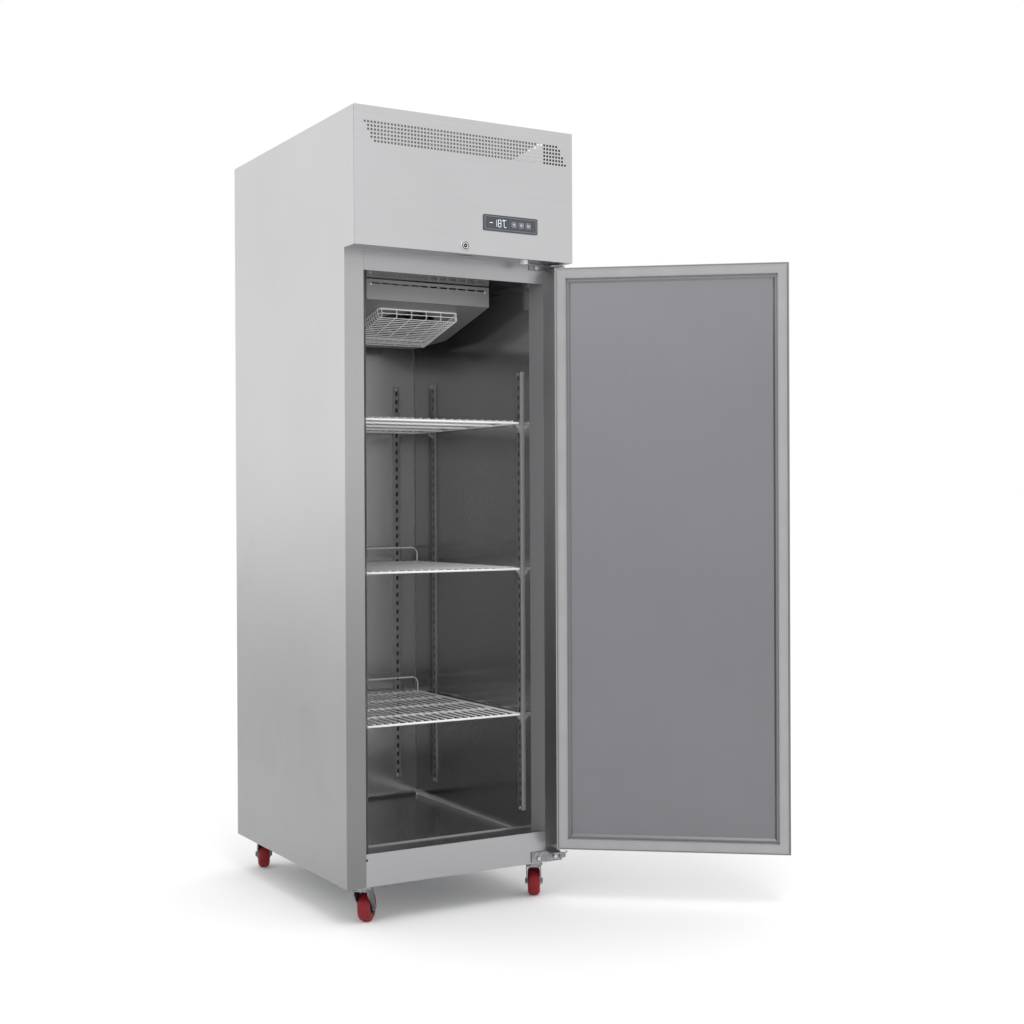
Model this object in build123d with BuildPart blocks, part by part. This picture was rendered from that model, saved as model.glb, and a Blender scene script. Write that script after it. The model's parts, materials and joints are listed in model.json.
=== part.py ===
from build123d import *
import os
from math import cos, hypot, radians, sin

os.makedirs("parts", exist_ok=True)

# Upright freezer with one insulated door, standing open, on four swivel casters.
# Lengths are in millimetres. X runs right, Y to the back and Z up, from the floor. The pieces are
# drawn about the middle of the width, in the plane of the front frame that the door closes on, and
# are written out about the middle of the floor that the freezer takes up with its door open.

# Cabinet shell
WIDTH = 620.0
BODY_DEPTH = 758.0
HEIGHT = 2000.0
BASE_HEIGHT = 100.0
SHEET = 1.0
BEND = 2.0
STILE = 52.0
REAR_FLANGE = 18.0
KICK_HEIGHT = 81.0
HEADER_HEIGHT = 50.0
HEADER_FOLD = 15.0

# Insulated walls and the lining
SIDE_WALL = 74.0
BACK_WALL = 52.0
FLOOR_WALL = 68.0
TOP_WALL = 66.0
LINING = 0.8
HEADER_RISE = 6.0
STRIP_DEPTH = 34.0
STRIP_SKEW = 2.2
LEDGE_DEPTH = 75.0
LEDGE_SLOPE = 14.0
PAN_SHEET = 1.2
COVE = 15.0
COVE_LIP = 1.0

# Canopy over the door, with the machine compartment behind it
CANOPY_HEIGHT = 336.0
CANOPY_PROJECTION = 62.0
PANEL_GAP = 1.0
CHEEK_CORNER = 6.0
PANEL_RETURN = 15.0
RETURN_INSET = 0.8
RETURN_LIFT = 2.0
KNUCKLE = 2.0
KNUCKLE_PIN = 1.0
KNUCKLE_LENGTH = 110.0
KNUCKLE_GAP = 0.5
RAIL_DEPTH = 16.0

# Air vent in the fascia
VENT_PITCH = 9.05
VENT_HOLE = 5.4
VENT_TOP = 39.0
VENT_LEFT = 28.4
VENT_RIGHT = 21.0
VENT_SHIFTS = (0, 1, 1, 2, 2, 3)

# Controller with its three keys
CONTROLLER_LEFT = 44.0
CONTROLLER_WIDTH = 159.0
CONTROLLER_HEIGHT = 41.0
CONTROLLER_RISE = 83.8
BEZEL = 2.0
CONTROLLER_DEPTH = 42.0
CONTROLLER_RIM = 5.0
KEY_SIZE = 9.0
KEY_THICK = 3.0
KEY_PROUD = 0.5
KEY_GAP = 0.2
KEY_TRAVEL = 0.6
KEY_PLACES = (88.6, 110.3, 131.0)

# Lock
LOCK_X = -8.0
LOCK_RISE = 20.0
LOCK_FLANGE = 13.0
LOCK_FLANGE_THICK = 2.5
LOCK_RADIUS = 10.0
LOCK_DEPTH = 22.0
KEYHOLE_LENGTH = 9.0
KEYHOLE_WIDTH = 1.6
KEYHOLE_DEPTH = 8.0
CAM_REACH = 38.0
CAM_WIDTH = 12.0
CAM_THICK = 2.5
CAM_STEM = 3.0
CAM_STEM_LENGTH = 8.0
CAM_SLOT_WIDTH = 8.0
CAM_SLOT_SPARE = 2.0
CAM_SLOT_ROOM = 15.0
CAM_SLOT_DEPTH = 12.0
STRIKE_WIDTH = 22.0
STRIKE_SPARE = 10.0
STRIKE_THICK = 1.5

# Door
DOOR_REVEAL = 10.0
DOOR_LIFT = 40.0
DOOR_TOP_GAP = 12.0
DOOR_THICK = 50.0
DOOR_CORNER = 4.0
DOOR_OPEN = 141.6
HINGE_INSET = 11.0
HINGE_SETBACK = 29.0
GASKET_INSET = 6.0
GASKET_WIDTH = 24.0
GASKET_BASE = 3.0
GASKET_NECK = 3.3
GASKET_NECK_WIDTH = 12.0
GASKET_BULB = 5.0
GASKET_CORNER = 1.5
LINER_MARGIN = 36.0
LINER_DISH = 5.0
LINER_TAPER = 45.0

# Grip cup in the outer face of the door
GRIP_EDGE = 26.0
GRIP_HEIGHT_ABOVE_FLOOR = 960.0
GRIP_WIDTH = 58.0
GRIP_LENGTH = 240.0
GRIP_DEPTH = 24.0
GRIP_WALL = 2.0
GRIP_RIM = 7.0
GRIP_RIM_THICK = 1.5
GRIP_LIP = 18.0
GRIP_CORNER = 10.0

# Hinges
PIN_RADIUS = 5.0
PIN_CLEARANCE = 0.05
PIN_LENGTH = 20.0
TOP_PIN_LENGTH = 12.0
ARM_THICK = 4.0
ARM_ROUND = 16.0
ARM_RUN = 27.0
ARM_DROP = 10.0
FLANGE_RUN = 75.0
FLANGE_MARGIN = 9.0
FLANGE_LIFT = 3.0
HINGE_BOSS = 9.0
HINGE_BOSS_LENGTH = 10.0
COLLAR_RADIUS = 10.0
COLLAR_GAP = 0.2
SOCKET_RADIUS = 8.0
SOCKET_LENGTH = 26.0
TOP_SOCKET_LENGTH = 15.0
BUSH_FLANGE = 1.5
TOP_ARM_RISE = 4.0
TOP_FLANGE_DROP = 8.0
TOP_FLANGE_THICK = 3.0
BOLT_ACROSS = 10.0
HEX_SIDES = 6
BOLT_HEAD = 5.0
BOLT_RUNS = (55.4, 5.0)
BOLT_LIFT = 12.5

# Door switch
SWITCH_X = 175.0
SWITCH_WIDTH = 13.0
SWITCH_DEPTH = 15.0
SWITCH_DROP = 9.5
SWITCH_BACK = 43.0

# Shelf supports
PILASTER_WIDTH = 20.0
PILASTER_DEPTH = 6.0
PILASTER_WALL = 1.0
PILASTER_FOOT = 57.0
PILASTER_HEAD = 230.0
PILASTER_FRONT = 83.0
PILASTER_REAR_SPACE = 131.0
PILASTER_SIDE_SPACE = 63.0
CLIP_WIDTH = 14.0
CLIP_THICK = 1.5
CLIP_TONGUE = 15.0
CLIP_LEG = 22.0
CLIP_UPSTAND = 7.0

# Wire shelves
SHELF_SHARES = (0.2206, 0.5511, 0.8824)
SHELF_SIDE_GAP = 8.0
SHELF_FRONT = 65.0
SHELF_BACK_GAP = 51.0
FRAME_WIRE = 3.0
GRID_WIRE = 1.75
GRID_WIRES = 19
CROSS_BARS = 3
WELD_GAP = 0.05
THICK_WIRE_SIDES = 8
THIN_WIRE_SIDES = 6
STOP_HEIGHT = 45.0
STOP_INSET = 13.0
STOP_CORNER = 18.0
STOP_WIRE = 2.0
SEAT_GAP = 0.2

# Evaporator housing, its fan and its drain
COOLER_SIDE_GAP = 56.0
COOLER_BACK_GAP = 106.0
COOLER_DEPTH = 450.0
COOLER_TOP_GAP = 2.0
COOLER_LIP = 54.0
COOLER_KNEE_DROP = 119.0
COOLER_BACK_DROP = 125.0
COOLER_REAR_LIP = 15.0
TAB = 12.0
SLOT_LENGTH = 22.0
SLOT_HEIGHT = 4.0
SLOT_PITCH = 28.0
SLOT_DROP = 10.0
FAN_X = -5.0
FAN_PLACE = 0.62
FAN_SET_BACK = 4.0
FAN_HOLE = 90.0
FAN_RADIUS = 84.0
FAN_HUB = 24.0
FAN_HUB_LENGTH = 20.0
FAN_BLADES = 5
BLADE_THICK = 1.6
BLADE_CHORD = 46.0
BLADE_ROOT = 20.0
BLADE_ANGLE = 24.0
BLADE_EDGE = ((0.55, -0.5), (0.88, -0.42), (0.95, 0), (0.86, 0.5), (0.4, 0.4))
MOTOR_RADIUS = 31.0
MOTOR_LENGTH = 30.0
MOTOR_SHAFT = 3.0
SHAFT_CLEARANCE = 0.05
MOTOR_STRAP = 16.0
MOTOR_STRAP_THICK = 2.0
STRAP_SPARE = 12.0
HUB_GAP = 1.0
HUB_FACE = 3.0
FAN_ROOT_SINK = 4.0
GUARD_WIDTH = 210.0
GUARD_LENGTH = 236.0
GUARD_DEPTH = 25.0
GUARD_WIRE = 1.25
GUARD_CROSS_WIRES = 15
GUARD_LONG_WIRES = 5
COIL_SIDE_GAP = 30.0
COIL_BACK_GAP = 20.0
COIL_FRONT_GAP = 45.0
COIL_DEPTH = 140.0
COIL_HEIGHT = 80.0
COIL_PLATE = 1.5
COIL_FIN_GAP = 16.0
COIL_FIN_CUT = 8.0
COIL_FIN_DEPTH = 6.0
DRAIN_RADIUS = 8.0
DRAIN_DROP = 8.0
DRAIN_CENTRE_BACK = 25.0
DRAIN_OUTLET = 10.0
DRAIN_BEND = 16.0
DRAIN_SPOUT = 12.0

# Machine compartment
COMPRESSOR_SIDE = 160.0
COMPRESSOR_BACK = 238.0
COMPRESSOR_RADIUS = 78.0
COMPRESSOR_HEIGHT = 170.0
COMPRESSOR_SEAM = 3.0
COMPRESSOR_SEAM_HEIGHT = 84.0
COMPRESSOR_DOME = 34.0
COMPRESSOR_PLATE = 4.0
FOOT_HEIGHT = 18.0
FOOT_RADIUS = 11.0
FOOT_SIDES = 8
FOOT_SPACING_X = 170.0
FOOT_SPACING_Y = 110.0
TERMINAL_WIDTH = 54.0
TERMINAL_HEIGHT = 60.0
TERMINAL_DEPTH = 40.0
CONDENSER_SIDE = 200.0
CONDENSER_Y = 70.0
CONDENSER_WIDTH = 300.0
CONDENSER_HEIGHT = 240.0
CONDENSER_DEPTH = 66.0
CONDENSER_FIN_CUT = 3.0
CONDENSER_FIN_PITCH = 30.0
CONDENSER_LEG = 14.0
SHROUD_DEPTH = 45.0
SHROUD_WALL = 1.0
CONTROL_BOX_SIDE = 95.0
CONTROL_BOX_BACK = 138.0
CONTROL_BOX_WIDTH = 150.0
CONTROL_BOX_DEPTH = 90.0
CONTROL_BOX_HEIGHT = 110.0
CONTROL_BOX_LID = 4.0
LOUVRE_LENGTH = 200.0
LOUVRE_SPREAD = 240.0
LOUVRE_HEIGHT = 8.0
LOUVRE_PITCH = 28.0
LOUVRE_ROWS = 8
LOUVRE_TOP = 50.0
PIPE_RADIUS = 4.0
PIPE_SIDES = 8
PIPE_BEND = 20.0
LIQUID_OFFSET = 28.0
PIPE_GAP = 0.3
PIPE_DROP_SIDE = 10.0
PIPE_DROP_BACK = 70.0
PIPE_SPACING = 30.0
PIPE_RUN_Z = 70.0
DRIER_RADIUS = 9.0
DRIER_LENGTH = 90.0
GLAND_SIDE = 90.0
GLAND_INSIDE = 3.0
GLAND_RISE = 34.0
GLAND_RADIUS = 8.0
GLAND_ACROSS = 22.0
GLAND_LENGTH = 14.0
GLAND_BORE = 4.0

# Casters
CASTER_SIDE = 63.0
CASTER_FRONT = 42.0
CASTER_BACK = 45.0
CASTER_PLATE = 60.0
CASTER_PLATE_THICK = 3.0
CASTER_TRAIL = 28.0
WHEEL_RADIUS = 37.5
WHEEL_WIDTH = 32.0
TREAD_WIDTH = 12.0
SHOULDER_WIDTH = 26.0
SHOULDER_DROP = 2.5
HUB_RADIUS = 22.0
HUB_WIDTH = 30.0
HUB_RECESS = 5.0
HUB_RECESS_RADIUS = 17.0
HUB_BOSS_RADIUS = 8.0
AXLE_RADIUS = 4.0
AXLE_CLEARANCE = 0.05
FORK_GAP = 1.2
FORK_SHEET = 2.5
FORK_CROWN_HALF = 21.0
FORK_AXLE_ROUND = 11.0
FORK_TOP = 86.0
RACE_RADIUS = 23.0
RACE_HEIGHT = 3.5
RACE_GAP = 0.3
KINGPIN_RADIUS = 6.0
KINGPIN_CLEARANCE = 0.05
AXLE_NUT = 6.5
AXLE_NUT_THICK = 4.0
TRAIL_ANGLES = {"front_left": 48.0, "front_right": 58.0, "rear_left": 72.0, "rear_right": 60.0}

# Places worked out from the sizes above
HALF = WIDTH / 2
CANOPY_Z = HEIGHT - CANOPY_HEIGHT
HEADER_Z = CANOPY_Z - HEADER_HEIGHT
SILL_Z = BASE_HEIGHT + KICK_HEIGHT
OPENING_HALF = HALF - STILE
INSIDE_HALF = HALF - SIDE_WALL
INSIDE_BACK = BODY_DEPTH - BACK_WALL
FLOOR_Z = BASE_HEIGHT + FLOOR_WALL
CEILING_Z = HEADER_Z + HEADER_RISE
MACHINE_Z = CEILING_Z + TOP_WALL
PANEL_HALF = HALF - SHEET
INNER_BEND = BEND - SHEET
BACK_SHEET_Y = BODY_DEPTH - SHEET
STRIP_BACK = SHEET + STRIP_DEPTH
STRIP_RUN = (OPENING_HALF - INSIDE_HALF) / STRIP_DEPTH
STRIP_INNER = INSIDE_HALF + STRIP_SKEW * STRIP_RUN
LINING_HALF = INSIDE_HALF + LINING
LINING_BACK = INSIDE_BACK + LINING
PAN_Z = FLOOR_Z - PAN_SHEET
FRONT_Y = -CANOPY_PROJECTION
PANEL_BACK_Y = FRONT_Y + SHEET
CHEEK_FRONT_Y = PANEL_BACK_Y + PANEL_GAP
VENT_COLUMNS = int((WIDTH - VENT_LEFT - VENT_RIGHT) / VENT_PITCH) - VENT_SHIFTS[-1] + 1
DOOR_WIDTH = WIDTH - 2 * DOOR_REVEAL
DOOR_BOTTOM = BASE_HEIGHT + DOOR_LIFT
DOOR_TOP = CANOPY_Z - DOOR_TOP_GAP
DOOR_HEIGHT = DOOR_TOP - DOOR_BOTTOM
HINGE_X = DOOR_WIDTH / 2 - HINGE_INSET
HINGE_Y = FRONT_Y + HINGE_SETBACK
DOOR_INNER_V = HINGE_SETBACK - DOOR_THICK
DOOR_MID_U = DOOR_WIDTH / 2 - HINGE_INSET
DOOR_MID_Z = DOOR_BOTTOM + DOOR_HEIGHT / 2
ARM_INNER = HINGE_X - ARM_RUN
ARM_TOP = DOOR_BOTTOM - ARM_DROP
FLANGE_INNER = HINGE_X - FLANGE_RUN
FLANGE_OUTER = HINGE_X + FLANGE_MARGIN
FLANGE_BOTTOM = BASE_HEIGHT + FLANGE_LIFT
BOLT_PLACES = [HINGE_X - run for run in BOLT_RUNS]
LOCK_Z = CANOPY_Z + LOCK_RISE
CAM_Y = FRONT_Y + LOCK_DEPTH + HUB_GAP
CONTROLLER_X = CONTROLLER_LEFT + CONTROLLER_WIDTH / 2
CONTROLLER_Z = CANOPY_Z + CONTROLLER_RISE
GLAND_X = GLAND_SIDE - HALF
GLAND_Z = MACHINE_Z + GLAND_RISE
DRAIN_Y = BODY_DEPTH - DRAIN_CENTRE_BACK
COOLER_HALF = INSIDE_HALF - COOLER_SIDE_GAP
COOLER_BACK = INSIDE_BACK - COOLER_BACK_GAP
COOLER_FRONT = COOLER_BACK - COOLER_DEPTH
COIL_HALF = COOLER_HALF - COIL_SIDE_GAP
COIL_BACK = COOLER_BACK - COIL_BACK_GAP
COIL_FRONT = COIL_BACK - COIL_DEPTH
COOLER_KNEE_Y = COIL_FRONT - COIL_FRONT_GAP
COOLER_KNEE_Z = CEILING_Z - COOLER_KNEE_DROP
COOLER_BACK_Z = CEILING_Z - COOLER_BACK_DROP
COOLER_TOP_Z = CEILING_Z - COOLER_TOP_GAP
COOLER_LIP_Z = CEILING_Z - COOLER_LIP
DRAIN_Z = COOLER_BACK_Z - DRAIN_DROP
COIL_TOP_Z = CEILING_Z - COOLER_TOP_GAP
SLOT_COUNT = int((2 * COOLER_HALF - SLOT_LENGTH) / SLOT_PITCH)
PILASTER_INNER = INSIDE_HALF - PILASTER_DEPTH
PILASTER_BOTTOM = FLOOR_Z + PILASTER_FOOT
PILASTER_TOP = CEILING_Z - PILASTER_HEAD
PILASTER_REAR = INSIDE_BACK - PILASTER_REAR_SPACE
PILASTER_BACK_X = INSIDE_HALF - PILASTER_SIDE_SPACE
SHELF_LEVELS = [PILASTER_BOTTOM + share * (PILASTER_TOP - PILASTER_BOTTOM) for share in SHELF_SHARES]
SHELF_HALF = INSIDE_HALF - SHELF_SIDE_GAP
SHELF_BACK = INSIDE_BACK - SHELF_BACK_GAP
STOP_HALF = SHELF_HALF - STOP_INSET
COMPRESSOR_X = COMPRESSOR_SIDE - HALF
COMPRESSOR_Y = BODY_DEPTH - COMPRESSOR_BACK
CONDENSER_X = HALF - CONDENSER_SIDE
CONTROL_BOX_X = HALF - CONTROL_BOX_SIDE
CONTROL_BOX_Y = BODY_DEPTH - CONTROL_BOX_BACK
PIPE_DROP_X = COIL_HALF - PIPE_DROP_SIDE
PIPE_DROP_Y = COIL_BACK - PIPE_DROP_BACK
CASTER_X = HALF - CASTER_SIDE
CASTER_REAR = BODY_DEPTH - CASTER_BACK

FASCIA_AXIS_Y = PANEL_BACK_Y + KNUCKLE
FASCIA_AXIS_Z = HEIGHT - KNUCKLE
KNUCKLE_PITCH = KNUCKLE_LENGTH + KNUCKLE_GAP
FIXED_KNUCKLES = (-2 * KNUCKLE_PITCH, 0, 2 * KNUCKLE_PITCH)
MOVING_KNUCKLES = (-KNUCKLE_PITCH, KNUCKLE_PITCH)

GRIP_U = DOOR_WIDTH - HINGE_INSET - GRIP_EDGE - GRIP_WIDTH / 2
CAM_SLOT_LENGTH = CAM_WIDTH + CAM_SLOT_SPARE * 2 + CAM_SLOT_ROOM
CAM_SLOT_U = HINGE_X - LOCK_X - CAM_SLOT_LENGTH / 2 + CAM_WIDTH / 2 + CAM_SLOT_SPARE
CAM_SLOT_V = HINGE_Y - CAM_Y - CAM_THICK / 2
LIQUID_TURN_X = CONDENSER_X + CONDENSER_WIDTH / 2 + LIQUID_OFFSET

# The door's own frame: x runs from the hinge axis to the free edge, y out of its front face
OPEN = radians(DOOR_OPEN)
DOOR_PLANE = Plane(origin=(HINGE_X, HINGE_Y, 0), x_dir=(-cos(OPEN), -sin(OPEN), 0), z_dir=(0, 0, 1))

# The evaporator fan's frame: its origin on the sloping underside, z out of the housing
SLOPE_RUN = COOLER_KNEE_Y - COOLER_FRONT
SLOPE_FALL = COOLER_LIP_Z - COOLER_KNEE_Z
SLOPE_LENGTH = hypot(SLOPE_RUN, SLOPE_FALL)
FAN_Y = COOLER_FRONT + SLOPE_RUN * FAN_PLACE
FAN_Z = COOLER_LIP_Z - SLOPE_FALL * FAN_PLACE
FAN_PLANE = Plane(
    origin=(FAN_X, FAN_Y, FAN_Z),
    x_dir=(1, 0, 0),
    z_dir=(0, -SLOPE_FALL / SLOPE_LENGTH, -SLOPE_RUN / SLOPE_LENGTH),
)
EVAPORATOR_FAN_PLANE = FAN_PLANE.offset(-FAN_SET_BACK)
STRAP_SPAN = FAN_HOLE + STRAP_SPARE
CONDENSER_BACK = CONDENSER_Y + CONDENSER_DEPTH / 2 + SHROUD_DEPTH
CONDENSER_FAN_PLANE = Plane(
    origin=(CONDENSER_X, CONDENSER_BACK, MACHINE_Z + CONDENSER_LEG + CONDENSER_HEIGHT / 2),
    x_dir=(1, 0, 0),
    z_dir=(0, -1, 0),
)


finished = {}


def save(builder, name):
    """Keep a finished piece under its name."""
    finished[name] = builder.part


def save_group(name, builders):
    """Keep pieces that lie against each other under one name, each still its own solid."""
    finished[name] = Compound([solid for builder in builders for solid in builder.part.solids()])


def write_pieces():
    """Write every piece to its own file, about the middle of the floor that they all take up."""
    middle = Compound(list(finished.values())).bounding_box().center()
    for name, piece in finished.items():
        placed = piece.translate((-middle.X, -middle.Y, 0), transform=True)
        placed.label = name
        export_step(placed, f"parts/{name}.step")


def door_face(v):
    """Upright plane in the door, v in front of the hinge axis, facing the cabinet."""
    origin = DOOR_PLANE.from_local_coords(Vector(0, v, 0))
    return Plane(origin=origin, x_dir=DOOR_PLANE.x_dir, z_dir=-DOOR_PLANE.y_dir)


def folded_section(plane, points, side, radius=BEND):
    """Section of a folded sheet: its outer line, thickened to one side."""
    with BuildSketch(plane) as section:
        with BuildLine():
            FilletPolyline(*points, radius=radius)
            offset(amount=SHEET, side=side, kind=Kind.INTERSECTION)
        make_face()
    return section.sketch


def polygon_section(plane, points):
    """Flat face through the points."""
    with BuildSketch(plane) as section:
        with BuildLine():
            Polyline(*points, close=True)
        make_face()
    return section.sketch


def wire_polygon(radius, sides):
    """Section of a drawn wire, with flats above and below."""
    corner = 360 / sides
    RegularPolygon(radius, sides, major_radius=False, rotation=(90 - corner / 2) % corner)


def cylinder_between(start, end, radius, mode=Mode.ADD):
    """Round bar or round hole between two points of the part being built."""
    run = Vector(*end) - Vector(*start)
    with BuildSketch(Plane(origin=start, z_dir=run)) as section:
        Circle(radius)
    extrude(section.sketch, amount=run.length, mode=mode)


def shell_plan(plane):
    """Plan of the space inside the outer sheets, clear of the side panels' front bends."""
    back = BACK_SHEET_Y - SHEET
    outline = (
        (-PANEL_HALF, SHEET + INNER_BEND),
        (-PANEL_HALF + INNER_BEND, SHEET),
        (PANEL_HALF - INNER_BEND, SHEET),
        (PANEL_HALF, SHEET + INNER_BEND),
        (PANEL_HALF, back),
        (-PANEL_HALF, back),
    )
    return polygon_section(plane, outline)


def drain_bore(mode, radius):
    """Round bar along the drain's route, added to or cut from the part being built."""
    start = (0, COOLER_BACK - DRAIN_SPOUT, DRAIN_Z)
    with BuildLine() as route:
        FilletPolyline(
            start,
            (0, DRAIN_Y, DRAIN_Z),
            (0, DRAIN_Y, BASE_HEIGHT - DRAIN_OUTLET),
            radius=DRAIN_BEND,
        )
    with BuildSketch(Plane(origin=start, z_dir=(0, 1, 0))) as section:
        Circle(radius)
    sweep(section.sketch, path=route.line, mode=mode)


# Cabinet shell


def side_panel(name, side):
    """Outer side sheet, folded round the front as the stile and round the back as a flange."""
    fold = Side.LEFT if side > 0 else Side.RIGHT
    points = (
        (side * OPENING_HALF, 0),
        (side * HALF, 0),
        (side * HALF, BODY_DEPTH),
        (side * (HALF - REAR_FLANGE), BODY_DEPTH),
    )
    with BuildPart() as panel:
        section = folded_section(Plane.XY.offset(BASE_HEIGHT), points, fold)
        extrude(section, amount=HEIGHT - BASE_HEIGHT)
    save(panel, name)


def back_panel():
    """Back sheet behind the insulation, with rows of air slots at the machine compartment."""
    with BuildPart() as panel:
        with BuildSketch(Plane.XZ.offset(-BACK_SHEET_Y)):
            with Locations((0, (BASE_HEIGHT + HEIGHT) / 2)):
                Rectangle(2 * (PANEL_HALF - INNER_BEND), HEIGHT - BASE_HEIGHT)
            louvre_mid = HEIGHT - LOUVRE_TOP - LOUVRE_PITCH * (LOUVRE_ROWS - 1) / 2
            with Locations((0, louvre_mid)):
                with GridLocations(LOUVRE_SPREAD, LOUVRE_PITCH, 2, LOUVRE_ROWS):
                    Rectangle(LOUVRE_LENGTH, LOUVRE_HEIGHT, mode=Mode.SUBTRACT)
            with Locations((GLAND_X, GLAND_Z)):
                Circle(GLAND_RADIUS + PIPE_GAP, mode=Mode.SUBTRACT)
        extrude(amount=SHEET)
    save(panel, "back_panel")


def base_panel():
    """Bottom sheet that the casters bolt to, with a hole for the drain."""
    with BuildPart() as panel:
        extrude(shell_plan(Plane.XY.offset(BASE_HEIGHT)), amount=SHEET)
        drain_bore(Mode.SUBTRACT, DRAIN_RADIUS + PIPE_GAP)
    save(panel, "base_panel")


def kick_panel():
    """Front sheet below the door opening, between the stiles."""
    with BuildPart() as panel:
        with BuildSketch(Plane.XZ):
            with Locations((0, (BASE_HEIGHT + SILL_Z) / 2)):
                Rectangle(2 * OPENING_HALF, KICK_HEIGHT)
        extrude(amount=-SHEET)
    save(panel, "kick_panel")


def header_panel():
    """Front sheet above the door opening, folded back over the insulation."""
    points = ((0, HEADER_Z), (0, MACHINE_Z), (HEADER_FOLD, MACHINE_Z))
    with BuildPart() as panel:
        section = folded_section(Plane.YZ.offset(-OPENING_HALF), points, Side.RIGHT)
        extrude(section, amount=2 * OPENING_HALF)
    save(panel, "header_panel")


def machine_tray():
    """Floor sheet of the machine compartment, with holes for the two cooling pipes."""
    with BuildPart() as tray:
        with BuildSketch(Plane.XY.offset(MACHINE_Z - SHEET)):
            with Locations((0, (HEADER_FOLD + BACK_SHEET_Y - SHEET) / 2)):
                Rectangle(2 * PANEL_HALF, BACK_SHEET_Y - SHEET - HEADER_FOLD)
            with Locations((PIPE_DROP_X, PIPE_DROP_Y), (PIPE_DROP_X - PIPE_SPACING, PIPE_DROP_Y)):
                Circle(PIPE_RADIUS + PIPE_GAP, mode=Mode.SUBTRACT)
        extrude(amount=SHEET)
    save(tray, "machine_tray")


# Insulation and lining


def insulation():
    """Foam blocks that fill the walls: floor, sill, two sides, back and top."""
    foam_back = BACK_SHEET_Y - SHEET
    with BuildPart() as floor_block:
        floor_plan = shell_plan(Plane.XY.offset(BASE_HEIGHT + SHEET))
        extrude(floor_plan, amount=PAN_Z - BASE_HEIGHT - SHEET)
        drain_bore(Mode.SUBTRACT, DRAIN_RADIUS + PIPE_GAP)
    with BuildPart() as sill_block:
        sill = (
            (-OPENING_HALF + STRIP_SKEW, SHEET),
            (OPENING_HALF - STRIP_SKEW, SHEET),
            (INSIDE_HALF, STRIP_BACK),
            (INSIDE_HALF, LEDGE_DEPTH),
            (-INSIDE_HALF, LEDGE_DEPTH),
            (-INSIDE_HALF, STRIP_BACK),
        )
        extrude(polygon_section(Plane.XY.offset(PAN_Z), sill), amount=SILL_Z - PAN_SHEET - PAN_Z)
    with BuildPart() as left_block:
        extrude(side_foam_section(-1, foam_back), amount=MACHINE_Z - SHEET - PAN_Z)
    with BuildPart() as right_block:
        extrude(side_foam_section(1, foam_back), amount=MACHINE_Z - SHEET - PAN_Z)
    with BuildPart() as back_block:
        with BuildSketch(Plane.XY.offset(PAN_Z)):
            with Locations((0, (LINING_BACK + foam_back) / 2)):
                Rectangle(2 * LINING_HALF, foam_back - LINING_BACK)
        extrude(amount=MACHINE_Z - SHEET - PAN_Z)
        drain_bore(Mode.SUBTRACT, DRAIN_RADIUS + PIPE_GAP)
    with BuildPart() as top_block:
        top = (
            (SHEET, HEADER_Z + 2 * LINING),
            (STRIP_BACK, CEILING_Z + 2 * LINING),
            (LINING_BACK, CEILING_Z + 2 * LINING),
            (LINING_BACK, MACHINE_Z - SHEET),
            (SHEET + INNER_BEND, MACHINE_Z - SHEET),
            (SHEET, MACHINE_Z - SHEET - INNER_BEND),
        )
        extrude(polygon_section(Plane.YZ.offset(-LINING_HALF), top), amount=2 * LINING_HALF)
        for pipe_x in (PIPE_DROP_X, PIPE_DROP_X - PIPE_SPACING):
            low = (pipe_x, PIPE_DROP_Y, CEILING_Z)
            high = (pipe_x, PIPE_DROP_Y, MACHINE_Z)
            cylinder_between(low, high, PIPE_RADIUS + PIPE_GAP, Mode.SUBTRACT)
    save_group("insulation", (floor_block, sill_block, left_block, right_block, back_block, top_block))


def side_foam_section(side, foam_back):
    """Plan of one side wall's foam, behind its stile and breaker strip."""
    outline = (
        (side * PANEL_HALF, SHEET + INNER_BEND),
        (side * (PANEL_HALF - INNER_BEND), SHEET),
        (side * OPENING_HALF, SHEET),
        (side * OPENING_HALF, SHEET + STRIP_SKEW),
        (side * STRIP_INNER, STRIP_BACK),
        (side * LINING_HALF, STRIP_BACK),
        (side * LINING_HALF, foam_back),
        (side * PANEL_HALF, foam_back),
    )
    return polygon_section(Plane.XY.offset(PAN_Z), outline)


def liner():
    """Steel lining: both side walls, the back wall and the ceiling, open at the front."""
    with BuildPart() as tank:
        with BuildSketch(Plane.XY.offset(PAN_Z)):
            with Locations((0, (STRIP_BACK + LINING_BACK) / 2)):
                Rectangle(2 * LINING_HALF, LINING_BACK - STRIP_BACK)
            with Locations((0, (STRIP_BACK + INSIDE_BACK) / 2)):
                Rectangle(2 * INSIDE_HALF, INSIDE_BACK - STRIP_BACK, mode=Mode.SUBTRACT)
        extrude(amount=CEILING_Z - PAN_Z)
        with BuildSketch(Plane.XY.offset(CEILING_Z)):
            with Locations((0, (STRIP_BACK + LINING_BACK) / 2)):
                Rectangle(2 * LINING_HALF, LINING_BACK - STRIP_BACK)
            with Locations((PIPE_DROP_X, PIPE_DROP_Y), (PIPE_DROP_X - PIPE_SPACING, PIPE_DROP_Y)):
                Circle(PIPE_RADIUS + PIPE_GAP, mode=Mode.SUBTRACT)
        extrude(amount=LINING)
        drain_bore(Mode.SUBTRACT, DRAIN_RADIUS + PIPE_GAP)
    save(tank, "liner")


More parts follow.
